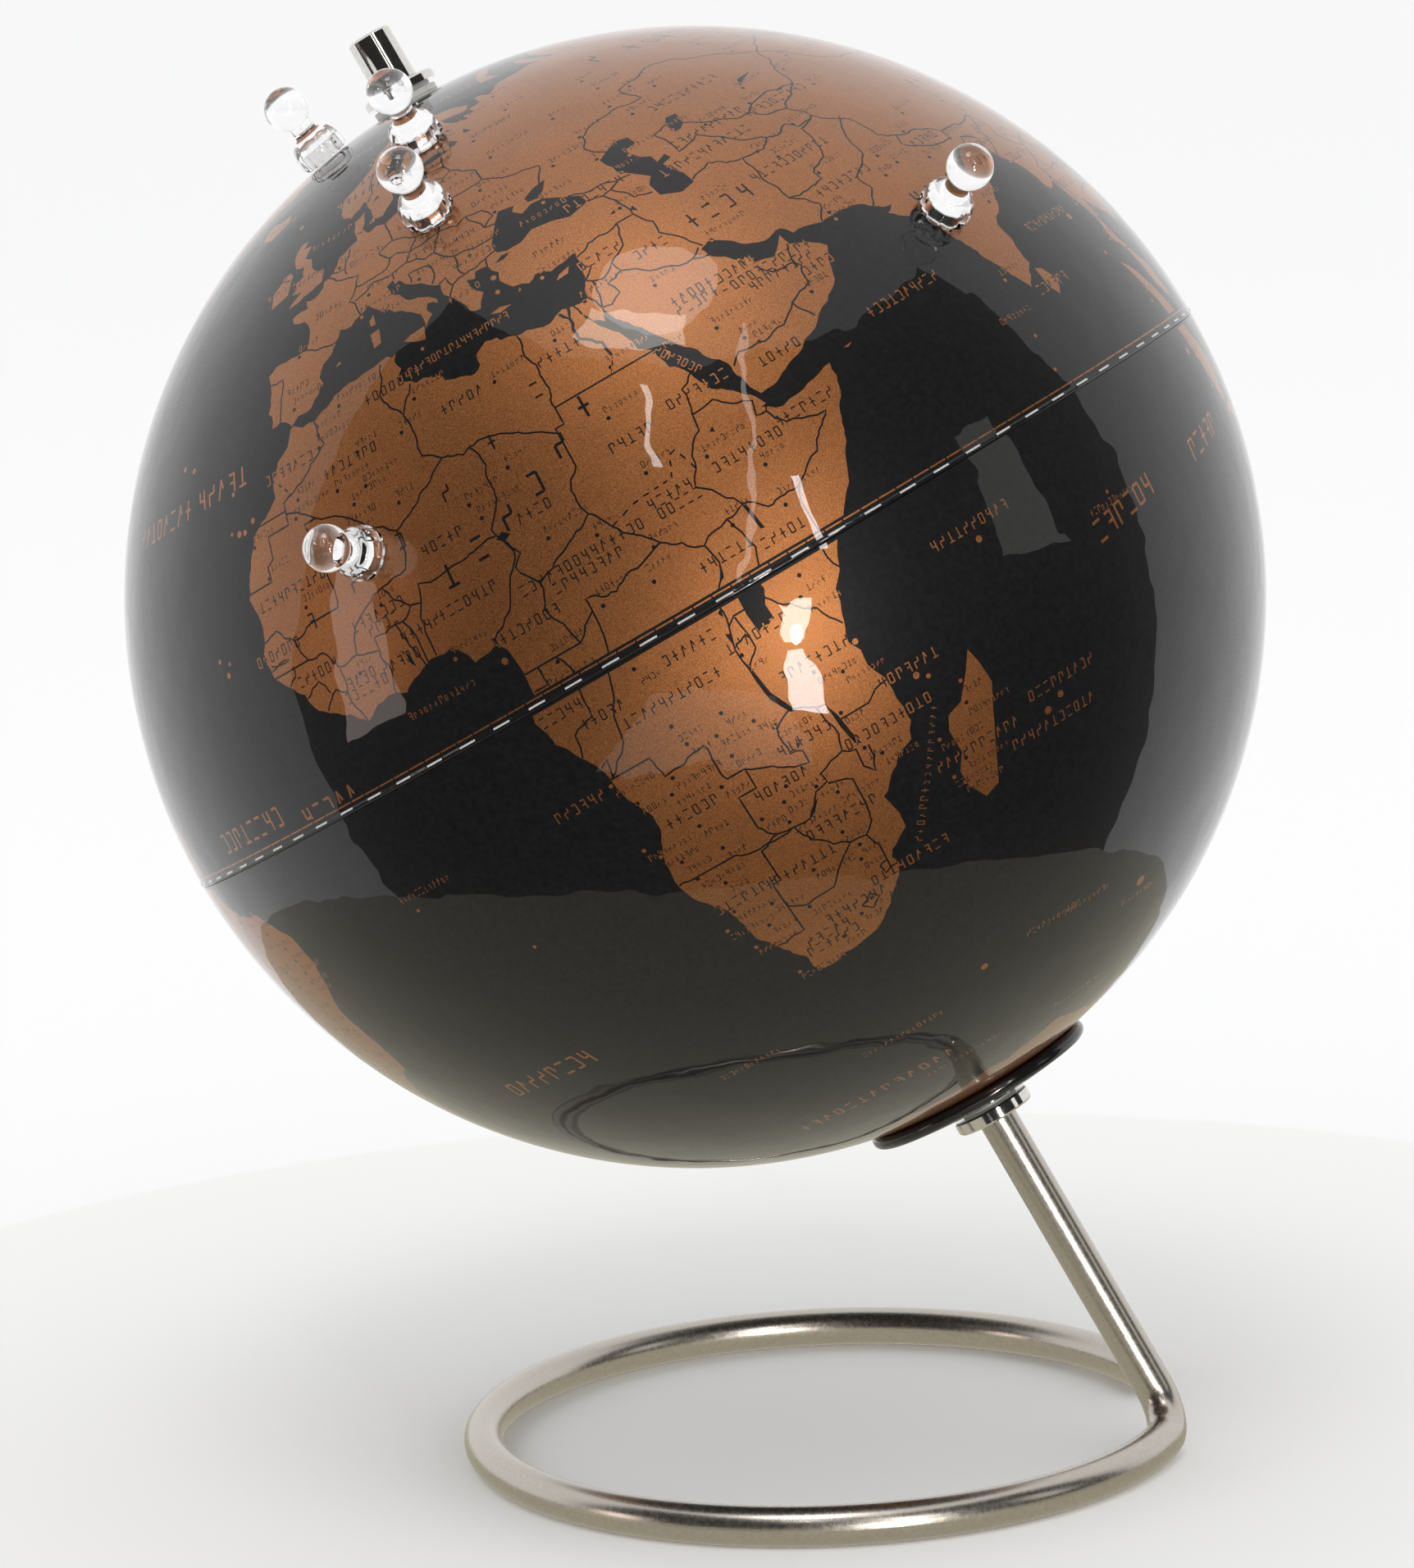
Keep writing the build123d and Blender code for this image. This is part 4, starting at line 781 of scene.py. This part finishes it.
class Plan:
    """Points and faces of one half's flat plan, collected before the plan is cut up."""

    def __init__(self):
        self.points = []
        self.faces = []
        self.kinds = []

    def add_face(self, corners, kind):
        """Adds a face, always anticlockwise, as the cutting needs its inside on the left."""
        ends = list(corners[1:]) + [corners[0]]
        if sum(a[0] * b[1] - a[1] * b[0] for a, b in zip(corners, ends)) < 0:
            corners = corners[::-1]
        start = len(self.points)
        self.points += [Vector((c[0], c[1])) for c in corners]
        self.faces.append(list(range(start, start + len(corners))))
        self.kinds.append(kind)

    def add_circle(self, from_pole, count, kind):
        corners = [
            (from_pole * math.cos(2 * math.pi * k / count), from_pole * math.sin(2 * math.pi * k / count))
            for k in range(count)]
        self.add_face(corners, kind)

    def add_loose(self, from_pole, count):
        self.points += [
            Vector((from_pole * math.cos(2 * math.pi * (k + 0.5) / count),
                    from_pole * math.sin(2 * math.pi * (k + 0.5) / count)))
            for k in range(count)]

    def cut(self):
        """(points, triangles, the kinds of face that cover each triangle)."""
        points, _, triangles, _, _, covered = delaunay_2d_cdt(self.points, [], self.faces, 0, 1e-7, True)
        kinds = [{self.kinds[face] for face in faces} for faces in covered]
        return points, triangles, kinds


def map_plan(side):
    """The flat plan of one half: coasts, lakes, borders, marks, band and the surface's own points."""
    rng = random.Random(print_seed + side)
    coasts = [AFRICA, EURASIA, NORTH_AMERICA, SOUTH_AMERICA, AUSTRALIA, ANTARCTICA] + ISLANDS
    half = Plan()
    half.add_circle(90 - seam_latitude, rim_sides, "half")
    half.add_circle(90 - pole_hole_latitude, hole_sides, "hole")
    half.add_circle(90 - (band_top if side > 0 else south_band), rim_sides, "map")
    for latitude in (0.06, 0.12, 0.2, 0.42, bead_top):
        if side > 0:
            half.add_circle(90 - latitude, rim_sides, "ring")
    land = []
    for outline in coasts:
        rough = coast_rough if len(outline) > island_points else 0
        coast = roughened(outline, True, coast_step, rough, rng)
        if all(lat * side < -0.5 for _, lat in coast):
            continue
        land.append(outline)
        half.add_face([plan(lon, lat, side) for lon, lat in coast], "land")
    for lon, lat, radius in SMALL_ISLANDS:
        if lat * side > 0:
            spots = placed([dot(radius / mm_to_degrees, 9)], *printed(lon, lat, side), side)
            half.add_face(spots[0], "land")
    for outline in WATERS:
        shore = roughened(outline, True, coast_step, 0, rng)
        if any(lat * side > -0.5 for _, lat in shore):
            half.add_face([plan(lon, lat, side) for lon, lat in shore], "water")
    for line in BORDERS:
        course = roughened(line, False, coast_step, coast_rough, rng)
        if any(lat * side > 0 for _, lat in course):
            for corners in ribbon(course, border_width, side):
                half.add_face(corners, "border")
    for line in DASHED_BORDERS:
        course = roughened(line, False, 0.8, 0.02, rng)
        if any(lat * side > 0 for _, lat in course):
            for number, corners in enumerate(ribbon(course, border_width, side)):
                if number % 4 < 2:
                    half.add_face(corners, "border")
    for line in RIVERS:
        course = roughened(line, False, coast_step, coast_rough, rng)
        if any(lat * side > 0 for _, lat in course):
            for corners in ribbon(course, river_width, side):
                half.add_face(corners, "border")
    for corners in printed_rows(side, land, rng):
        half.add_face(corners, "mark")
    for corners, what in band_cells(side):
        half.add_face(corners, "white cell" if what == WHITE else "copper cell")
    from_pole = 90 - pole_hole_latitude + surface_step
    while from_pole < 90 - band_top - surface_step / 2:
        half.add_loose(from_pole, int(360 * math.sin(from_pole * degree) / surface_step) + 3)
        from_pole += surface_step
    return half


def print_of(kinds):
    """What is printed where these kinds of face overlap, or None outside the half."""
    if "half" not in kinds or "hole" in kinds:
        return None
    if "map" not in kinds:
        if "white cell" in kinds:
            return WHITE
        return COPPER if "copper cell" in kinds else SEA
    land = "land" in kinds and "water" not in kinds
    if "mark" in kinds:
        return SEA if land else COPPER
    return COPPER if land and "border" not in kinds else SEA


def shell_radius(from_pole, side):
    """Outer radius of a half, with the rolled bead along the north half's rim."""
    latitude = 90 - from_pole
    if side < 0 or latitude >= bead_top:
        return globe_r
    share = (latitude - seam_latitude) / (bead_top - seam_latitude)
    return globe_r + bead_proud * math.sin(math.pi * min(max(share, 0), 1)) ** 0.6


def make_half(name, node, side, materials):
    """One printed half of the ball as a closed shell that stands for the CAD half."""
    points, triangles, kinds = map_plan(side).cut()
    mesh_builder = bmesh.new()
    outer = {}
    for triangle, over in zip(triangles, kinds):
        what = print_of(over)
        if what is None:
            continue
        for index in triangle:
            if index not in outer:
                radius = shell_radius(points[index].length, side)
                outer[index] = mesh_builder.verts.new(on_ball(points[index], side, radius))
        corners = [outer[index] for index in triangle]
        face = mesh_builder.faces.new(corners if side > 0 else corners[::-1])
        face.material_index = what
        face.smooth = True
    add_inner_skin(mesh_builder, side)
    mesh = bpy.data.meshes.new(name)
    mesh_builder.to_mesh(mesh)
    mesh_builder.free()
    for material in materials:
        mesh.materials.append(material)
    set_ball_normals(mesh)
    half = bpy.data.objects.new(name, mesh)
    bpy.context.scene.collection.objects.link(half)
    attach(half, "globe")
    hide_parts(node)
    return half


def add_inner_skin(mesh_builder, side):
    """Closes the shell: rims at the seam and the pole hole, and a plain inner surface."""
    inner_r = globe_r - shell_t
    rim = [edge for edge in mesh_builder.edges if edge.is_boundary]
    pulled = bmesh.ops.extrude_edge_only(mesh_builder, edges=rim)["geom"]
    inner_points = []
    inner_verts = []
    for vert in (item for item in pulled if isinstance(item, bmesh.types.BMVert)):
        offset = vert.co - centre
        vert.co = centre + offset.normalized() * inner_r
        direction = offset.normalized()
        from_pole = math.degrees(math.acos(max(-1, min(1, direction.dot(axis) * side))))
        turn = math.atan2(direction.dot(side_y), direction.dot(side_x))
        inner_points.append(Vector((from_pole * math.cos(turn), from_pole * math.sin(turn))))
        inner_verts.append(vert)
    hole = 90 - pole_hole_latitude
    order = sorted(range(len(inner_points)), key=lambda k: math.atan2(inner_points[k].y, inner_points[k].x))
    rim_loop = [k for k in order if inner_points[k].length > 45]
    hole_loop = [k for k in order if inner_points[k].length <= 45]
    from_pole = hole + inner_step
    while from_pole < 86:
        count = int(360 * math.sin(from_pole * degree) / inner_step) + 3
        for k in range(count):
            turn = 2 * math.pi * k / count
            point = Vector((from_pole * math.cos(turn), from_pole * math.sin(turn)))
            inner_points.append(point)
            inner_verts.append(mesh_builder.verts.new(on_ball(point, side, inner_r)))
        from_pole += inner_step
    points, _, triangles, originals, _, covered = delaunay_2d_cdt(
        inner_points, [], [rim_loop, hole_loop], 0, 1e-9, True)
    for triangle, over in zip(triangles, covered):
        if over != [0]:
            continue
        corners = [inner_verts[originals[index][0]] for index in triangle]
        face = mesh_builder.faces.new(corners[::-1] if side > 0 else corners)
        face.material_index = SEA
        face.smooth = True


def set_ball_normals(mesh):
    """Exact round normals on the outer surface; the bead, rims and inside keep their own."""
    edge_r = globe_r - 0.1 * MM
    normals = []
    for polygon in mesh.polygons:
        for loop in polygon.loop_indices:
            vert = mesh.vertices[mesh.loops[loop].vertex_index].co
            offset = vert - centre
            radius = offset.length
            facing = polygon.normal.dot(offset) > radius * 0.9
            plain = edge_r < radius < globe_r + 0.01 * MM
            normals.append(offset.normalized() if facing and plain else Vector((0, 0, 0)))
    mesh.normals_split_custom_set(normals)


# ---- materials --------------------------------------------------------------------------------
def new_material(name):
    """A node material: (material, its nodes, its links, its Principled shader)."""
    material = bpy.data.materials.new(name)
    material.use_nodes = True
    nodes = material.node_tree.nodes
    return material, nodes, material.node_tree.links, nodes["Principled BSDF"]


def set_inputs(shader, **values):
    """Sets sockets of a shader by name, with _ for a space."""
    for name, value in values.items():
        shader.inputs[name.replace("_", " ")].default_value = value


def noise(nodes, links, scale, detail=2.0, stretch=None):
    """A noise texture in object space, if wanted stretched along the axes."""
    texture = nodes.new("ShaderNodeTexNoise")
    coordinates = nodes.new("ShaderNodeTexCoord")
    texture.inputs["Scale"].default_value = scale
    texture.inputs["Detail"].default_value = detail
    if stretch is None:
        links.new(coordinates.outputs["Object"], texture.inputs["Vector"])
    else:
        mapping = nodes.new("ShaderNodeMapping")
        mapping.inputs["Scale"].default_value = stretch
        links.new(coordinates.outputs["Object"], mapping.inputs["Vector"])
        links.new(mapping.outputs["Vector"], texture.inputs["Vector"])
    return texture.outputs["Fac"]


def ramp(nodes, links, value, low, high, low_at=0.3, high_at=0.7):
    """A colour ramp between two colours or greys."""
    blend = nodes.new("ShaderNodeValToRGB")
    blend.color_ramp.elements[0].position = low_at
    blend.color_ramp.elements[1].position = high_at
    blend.color_ramp.elements[0].color = (*low, 1) if isinstance(low, tuple) else (low, low, low, 1)
    blend.color_ramp.elements[1].color = (*high, 1) if isinstance(high, tuple) else (high, high, high, 1)
    links.new(value, blend.inputs["Fac"])
    return blend.outputs["Color"]


def bump(nodes, links, height, strength, distance):
    """A bump node's normal."""
    node = nodes.new("ShaderNodeBump")
    node.inputs["Strength"].default_value = strength
    node.inputs["Distance"].default_value = distance
    links.new(height, node.inputs["Height"])
    return node.outputs["Normal"]


def clear_lacquer(shader, nodes, links):
    """The gloss coat over the whole print, with the slight waves of pressed sheet."""
    set_inputs(shader, Coat_Weight=1.0, Coat_Roughness=0.012, Coat_IOR=1.36)
    waves = bump(nodes, links, noise(nodes, links, 60, 2.0), 0.4, 0.0007)
    links.new(waves, shader.inputs["Coat Normal"])


def sea_material():
    """Gloss black print."""
    material, nodes, links, shader = new_material("sea_print")
    shade = ramp(nodes, links, noise(nodes, links, 900, 3.0), (.0045, .0042, .0045), (.0085, .008, .0085))
    links.new(shade, shader.inputs["Base Color"])
    links.new(ramp(nodes, links, noise(nodes, links, 2500), 0.36, 0.46), shader.inputs["Roughness"])
    set_inputs(shader, IOR=1.2)
    clear_lacquer(shader, nodes, links)
    return material


def copper_material():
    """Copper ink with fine metal flakes under the lacquer."""
    material, nodes, links, shader = new_material("copper_print")
    flakes = noise(nodes, links, 4200, 2.0)
    shade = ramp(nodes, links, flakes, (.20, .072, .022), (.43, .170, .056), 0.32, 0.68)
    cloud = ramp(nodes, links, noise(nodes, links, 60, 4.0), (.90, .90, .92), (1.0, 1.0, 1.0))
    mix = nodes.new("ShaderNodeMix")
    mix.data_type = "RGBA"
    mix.blend_type = "MULTIPLY"
    mix.inputs["Factor"].default_value = 1.0
    links.new(shade, mix.inputs["A"])
    links.new(cloud, mix.inputs["B"])
    links.new(mix.outputs["Result"], shader.inputs["Base Color"])
    links.new(ramp(nodes, links, flakes, 0.40, 0.52), shader.inputs["Roughness"])
    set_inputs(shader, Metallic=0.85)
    links.new(bump(nodes, links, flakes, 0.25, 0.00006), shader.inputs["Normal"])
    clear_lacquer(shader, nodes, links)
    return material


def white_material():
    """White ink of the band's cells."""
    material, nodes, links, shader = new_material("white_print")
    shade = ramp(nodes, links, noise(nodes, links, 1800, 2.0), (.34, .33, .32), (.46, .45, .43))
    links.new(shade, shader.inputs["Base Color"])
    set_inputs(shader, Roughness=0.42)
    clear_lacquer(shader, nodes, links)
    return material


def metal_material(name, dark, light, low_rough, high_rough, grain, depth):
    """Turned or brushed metal: its colour and gloss vary with a fine grain."""
    material, nodes, links, shader = new_material(name)
    pattern = noise(nodes, links, grain, 4.0)
    links.new(ramp(nodes, links, pattern, dark, light), shader.inputs["Base Color"])
    links.new(ramp(nodes, links, pattern, low_rough, high_rough), shader.inputs["Roughness"])
    set_inputs(shader, Metallic=1.0)
    links.new(bump(nodes, links, pattern, 0.4, depth), shader.inputs["Normal"])
    return material


def black_plastic_material():
    """Moulded gloss black plastic with a faint orange peel."""
    material, nodes, links, shader = new_material("black_plastic")
    links.new(ramp(nodes, links, noise(nodes, links, 300, 3.0), .006, .011), shader.inputs["Base Color"])
    links.new(ramp(nodes, links, noise(nodes, links, 700, 3.0), .10, .17), shader.inputs["Roughness"])
    links.new(bump(nodes, links, noise(nodes, links, 500), 0.15, 0.00005), shader.inputs["Normal"])
    return material


def nylon_material():
    """Natural nylon."""
    material, nodes, links, shader = new_material("nylon")
    shade = ramp(nodes, links, noise(nodes, links, 400, 3.0), (.66, .64, .58), (.74, .72, .67))
    links.new(shade, shader.inputs["Base Color"])
    links.new(ramp(nodes, links, noise(nodes, links, 900), .38, .5), shader.inputs["Roughness"])
    return material


def acrylic_material():
    """Clear moulded acrylic with tiny moulding waves."""
    material, nodes, links, shader = new_material("clear_acrylic")
    set_inputs(shader, Base_Color=(.985, .985, .99, 1), Roughness=0.0, IOR=1.49, Transmission_Weight=1.0)
    links.new(bump(nodes, links, noise(nodes, links, 260, 1.0), 0.12, 0.00015), shader.inputs["Normal"])
    return material


# ---- push pins --------------------------------------------------------------------------------
pin_length = 17.0              # millimetres, as the CAD pins
pin_ball_r = 4.5
pin_neck_r = 2.3
pin_base_r = 5.3
pin_base_h = 6.4
pin_flutes = 10                # lobes round the foot
flute_depth = 0.42
magnet_pocket = (3.55, 3.05)   # radius and depth


def pin_profile():
    """(radius, height, share of fluting) up the outside of a pin, in millimetres."""
    head_z = pin_length - pin_ball_r
    profile = [(magnet_pocket[0], 0, 0), (pin_base_r - 0.9, 0, .3), (pin_base_r - 0.3, 0.35, 1)]
    for step in range(9):
        angle = step / 8 * math.pi / 2
        radius = pin_neck_r + 0.9 + (pin_base_r - pin_neck_r - 0.9) * math.cos(angle) ** 0.8
        height = 0.9 + (pin_base_h - 1.5) * math.sin(angle)
        profile.append((radius, height, 1 - step / 8))
    profile.append((pin_neck_r + 0.15, pin_base_h + 0.2, 0))
    profile.append((pin_neck_r, pin_base_h + 1.1, 0))
    start = math.asin(pin_neck_r / pin_ball_r)
    for step in range(25):
        angle = math.pi - start - (math.pi - start) * step / 25
        profile.append((pin_ball_r * math.sin(angle), head_z + pin_ball_r * math.cos(angle), 0))
    return profile


def make_pin(number):
    """A clear push pin: round head, neck and fluted foot with a pocket for its magnet."""
    body = f"pin_{number}"
    pull = next(j for j in frame["joints"] if j["name"] == f"{body}_pull")
    outward = Vector(pull["axis"]).normalized()
    across = outward.orthogonal().normalized()
    beside = outward.cross(across)
    foot = min((v.co - centre).dot(outward) for v in frame["nodes"][f"{body}_body"].data.vertices)
    around = 80
    builder = bmesh.new()

    def ring(radius, height, fluting):
        verts = []
        for k in range(around):
            turn = 2 * math.pi * k / around
            lobe = flute_depth * fluting * (1 - abs(math.cos(turn * pin_flutes / 2)))
            reach = (radius - lobe) * MM
            verts.append(builder.verts.new(
                centre + outward * (foot + height * MM)
                + across * (reach * math.cos(turn)) + beside * (reach * math.sin(turn))))
        return verts

    def skin(lower, upper):
        for k in range(around):
            face = builder.faces.new((lower[k], lower[(k + 1) % around], upper[(k + 1) % around], upper[k]))
            face.smooth = True

    profile = pin_profile()
    rings = [ring(*place) for place in profile]
    for lower, upper in zip(rings, rings[1:]):
        skin(lower, upper)
    top = builder.verts.new(centre + outward * (foot + pin_length * MM))
    pocket_top = ring(magnet_pocket[0], magnet_pocket[1], 0)
    skin(pocket_top, rings[0])
    pocket_middle = builder.verts.new(centre + outward * (foot + magnet_pocket[1] * MM))
    for k in range(around):
        after = (k + 1) % around
        builder.faces.new((rings[-1][k], rings[-1][after], top)).smooth = True
        builder.faces.new((pocket_top[after], pocket_top[k], pocket_middle)).smooth = True
    bmesh.ops.recalc_face_normals(builder, faces=builder.faces)
    mesh = bpy.data.meshes.new(f"{body}_clear")
    builder.to_mesh(mesh)
    builder.free()
    mesh.set_sharp_from_angle(angle=math.radians(50))
    mesh.materials.append(clear_acrylic)
    pin = bpy.data.objects.new(f"{body}_clear", mesh)
    bpy.context.scene.collection.objects.link(pin)
    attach(pin, body)
    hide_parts(f"{body}_body")


# ---- studio -----------------------------------------------------------------------------------
# What the gloss mirrors: each panel's name, its corners' azimuth and elevation seen from the ball
# (azimuth 0 is in front, 90 to the right), its brightness and its tint.
panel_distance = 3.2
table_r = 0.254
table_offset = (0.001, 0.031)
table_glow = 0.55
table_tint = (1.0, 0.96, 0.78)
STUDIO_PANELS = [
    ("dark_room", [(-71, -62), (122, -62), (103, 54), (-72, 54)], 0.03, (1, 1, 1), 3.3),
    ("window", [(-22, 57), (12, 57), (14, 64), (-22, 64)], 9, (1, .95, .88)),
    ("lamp_low", [(29, -14), (37, -14), (33, -3), (28, -3)], 26, (1, .97, 1)),
    ("lamp_high", [(27, -1), (33, -1), (33, 7), (28, 7)], 26, (1, .97, .93)),
    ("strip_left", [(3.6, 34), (5.4, 34), (.8, 50), (-1.2, 50)], 14, (1, 1, 1)),
    ("strip_middle", [(21, 12), (22.4, 12), (33, 61), (31, 61)], 6, (1, .96, .92)),
    ("strip_right", [(37, 15), (40.5, 15), (34.6, 31), (32.6, 31)], 22, (1, 1, 1)),
    ("left_card", [(-61, -17), (-47, -12), (-53, 12), (-63, 12)], 3.2, (1, .86, .80)),
    ("right_veil", [(75, 8), (90, 8), (84, 30), (74, 30)], 1.1, (1, 1, .96)),
    ("middle_veil", [(-8, -24), (34, -24), (26, -10), (2, -10)], 1.2, (1, .98, .95)),
]


def emitter(name, strength, tint=(1, 1, 1)):
    """Light-giving surface of a studio panel."""
    material = bpy.data.materials.new(name)
    material.use_nodes = True
    nodes = material.node_tree.nodes
    nodes.clear()
    glow = nodes.new("ShaderNodeEmission")
    output = nodes.new("ShaderNodeOutputMaterial")
    glow.inputs["Color"].default_value = (*tint, 1)
    glow.inputs["Strength"].default_value = strength
    material.node_tree.links.new(glow.outputs["Emission"], output.inputs["Surface"])
    return material


def only_in_reflections(obj):
    """Makes a surface that only glossy reflections see."""
    obj.visible_camera = False
    obj.visible_diffuse = False
    obj.visible_shadow = False
    obj.visible_transmission = False


def panel(name, corners, strength, tint=(1, 1, 1), distance=panel_distance):
    """A curved panel seen in reflections: its corners are (azimuth, elevation) from the ball."""
    steps = 16
    points = []
    for row in range(steps + 1):
        for column in range(steps + 1):
            u = column / steps
            v = row / steps
            shares = ((1 - u) * (1 - v), u * (1 - v), u * v, (1 - u) * v)
            azimuth = sum(share * corner[0] for share, corner in zip(shares, corners)) * degree
            elevation = sum(share * corner[1] for share, corner in zip(shares, corners)) * degree
            out = Vector((math.sin(azimuth) * math.cos(elevation),
                          -math.cos(azimuth) * math.cos(elevation), math.sin(elevation)))
            points.append(centre + out * distance)
    wide = steps + 1
    faces = [(k, k + 1, k + 1 + wide, k + wide)
             for k in range(wide * steps) if k % wide < steps]
    mesh = bpy.data.meshes.new(name)
    mesh.from_pydata(points, [], faces)
    mesh.materials.append(emitter(name, strength, tint))
    surface = bpy.data.objects.new(name, mesh)
    only_in_reflections(surface)
    bpy.context.scene.collection.objects.link(surface)


def make_table():
    """The round table top as the ball mirrors it."""
    sides = 96
    middle = Vector((centre.x + table_offset[0], centre.y + table_offset[1], 0.0003))
    rim = [
        middle + Vector((math.cos(k * 2 * math.pi / sides), math.sin(k * 2 * math.pi / sides), 0)) * table_r
        for k in range(sides)]
    mesh = bpy.data.meshes.new("table_top")
    mesh.from_pydata(rim, [], [tuple(range(sides))])
    mesh.materials.append(emitter("table_top", table_glow, table_tint))
    table = bpy.data.objects.new("table_top", mesh)
    only_in_reflections(table)
    bpy.context.scene.collection.objects.link(table)


def make_floor():
    """A wide pale floor."""
    mesh = bpy.data.meshes.new("floor")
    half = 30.0
    corners = [(-half, -half, 0), (half, -half, 0), (half, half, 0), (-half, half, 0)]
    mesh.from_pydata(corners, [], [(0, 1, 2, 3)])
    material, _, _, shader = new_material("pale_floor")
    set_inputs(shader, Base_Color=(.93, .93, .935, 1), Roughness=0.6)
    mesh.materials.append(material)
    floor = bpy.data.objects.new("floor", mesh)
    bpy.context.scene.collection.objects.link(floor)
    floor.visible_glossy = False


def lamp(name, azimuth, elevation, size, power, tint=(1, 1, 1), distance=3.0):
    """A soft light that shines at the ball from an azimuth and elevation."""
    light = bpy.data.lights.new(name, "AREA")
    light.shape = "DISK"
    light.size = size
    light.energy = power
    light.color = tint
    source = bpy.data.objects.new(name, light)
    out = Vector((math.sin(azimuth * degree) * math.cos(elevation * degree),
                  -math.cos(azimuth * degree) * math.cos(elevation * degree), math.sin(elevation * degree)))
    source.location = centre + out * distance
    source.rotation_euler = (-out).to_track_quat("-Z", "Y").to_euler()
    source.visible_camera = False
    bpy.context.scene.collection.objects.link(source)


def make_world(strength):
    """Even white surroundings."""
    world = bpy.data.worlds.new("studio")
    world.use_nodes = True
    background = world.node_tree.nodes["Background"]
    background.inputs["Color"].default_value = (1, 1, 1, 1)
    background.inputs["Strength"].default_value = strength
    bpy.context.scene.world = world


def make_camera():
    """The photograph's viewpoint: a long lens, a little above the ball, rolled slightly."""
    right = Vector((0.97812, 0.20286, -0.04615))
    down = Vector((-0.00872, -0.18165, -0.98332))
    forward = Vector((-0.20786, 0.96221, -0.17591))
    data = bpy.data.cameras.new("camera")
    data.lens = 130.43
    data.sensor_width = 36.0
    data.clip_start = 0.05
    data.clip_end = 200
    camera = bpy.data.objects.new("camera", data)
    turn = Matrix((right, -down, -forward)).transposed()
    camera.matrix_world = Matrix.Translation((0.2208, -1.1123, 0.3413)) @ turn.to_4x4()
    bpy.context.scene.collection.objects.link(camera)
    bpy.context.scene.camera = camera


# ---- build ------------------------------------------------------------------------------------
make_camera()
bpy.context.scene.view_settings.view_transform = "Standard"
make_world(1.0)
make_floor()

make_table()
for place in STUDIO_PANELS:
    panel(*place)
lamp("key_light", 31, 0, 0.16, 26, (1, .97, .93))
lamp("top_light", 0, 70, 1.0, 10)

prints = [sea_material(), copper_material(), white_material()]
make_half("north_half_printed", "north_hemisphere", 1, prints)
make_half("south_half_printed", "south_hemisphere", -1, prints)

clear_acrylic = acrylic_material()
for pin_number in range(1, 6):
    make_pin(pin_number)

satin = metal_material("satin_nickel", (.47, .43, .385), (.53, .49, .44), .24, .30, 1100, 0.000006)
polished = metal_material("polished_steel", (.66, .64, .61), (.72, .70, .67), .07, .11, 900, 0.000003)
finishes = {
    "satin_nickel": satin,
    "polished_steel": polished,
    "axle_steel": metal_material("axle_steel", (.42, .41, .40), (.50, .49, .48), .25, .35, 900, 0.00002),
    "spring_steel": metal_material("spring_steel", (.30, .30, .31), (.42, .42, .43), .3, .4, 900, 0.00002),
    "magnet_nickel": metal_material("magnet_nickel", (.70, .69, .68), (.80, .79, .78), .06, .1, 700, 0.00001),
    "black_plastic": black_plastic_material(),
    "nylon": nylon_material(),
}
node_finish = {
    "stand_rod": "satin_nickel", "axle_rod": "axle_steel", "seat_collar": "polished_steel",
    "lower_thrust_washer": "nylon", "upper_thrust_washer": "nylon", "finial_flange": "polished_steel",
    "finial_nut": "polished_steel", "south_dish": "black_plastic", "south_bush": "nylon",
    "north_bush": "nylon", "south_hub_clip": "spring_steel", "north_hub_clip": "spring_steel",
}
for pin_number in range(1, 6):
    node_finish[f"pin_{pin_number}_magnet"] = "magnet_nickel"
for node_name, finish in node_finish.items():
    cad_node = frame["nodes"][node_name]
    cad_node.data.materials.clear()
    cad_node.data.materials.append(finishes[finish])
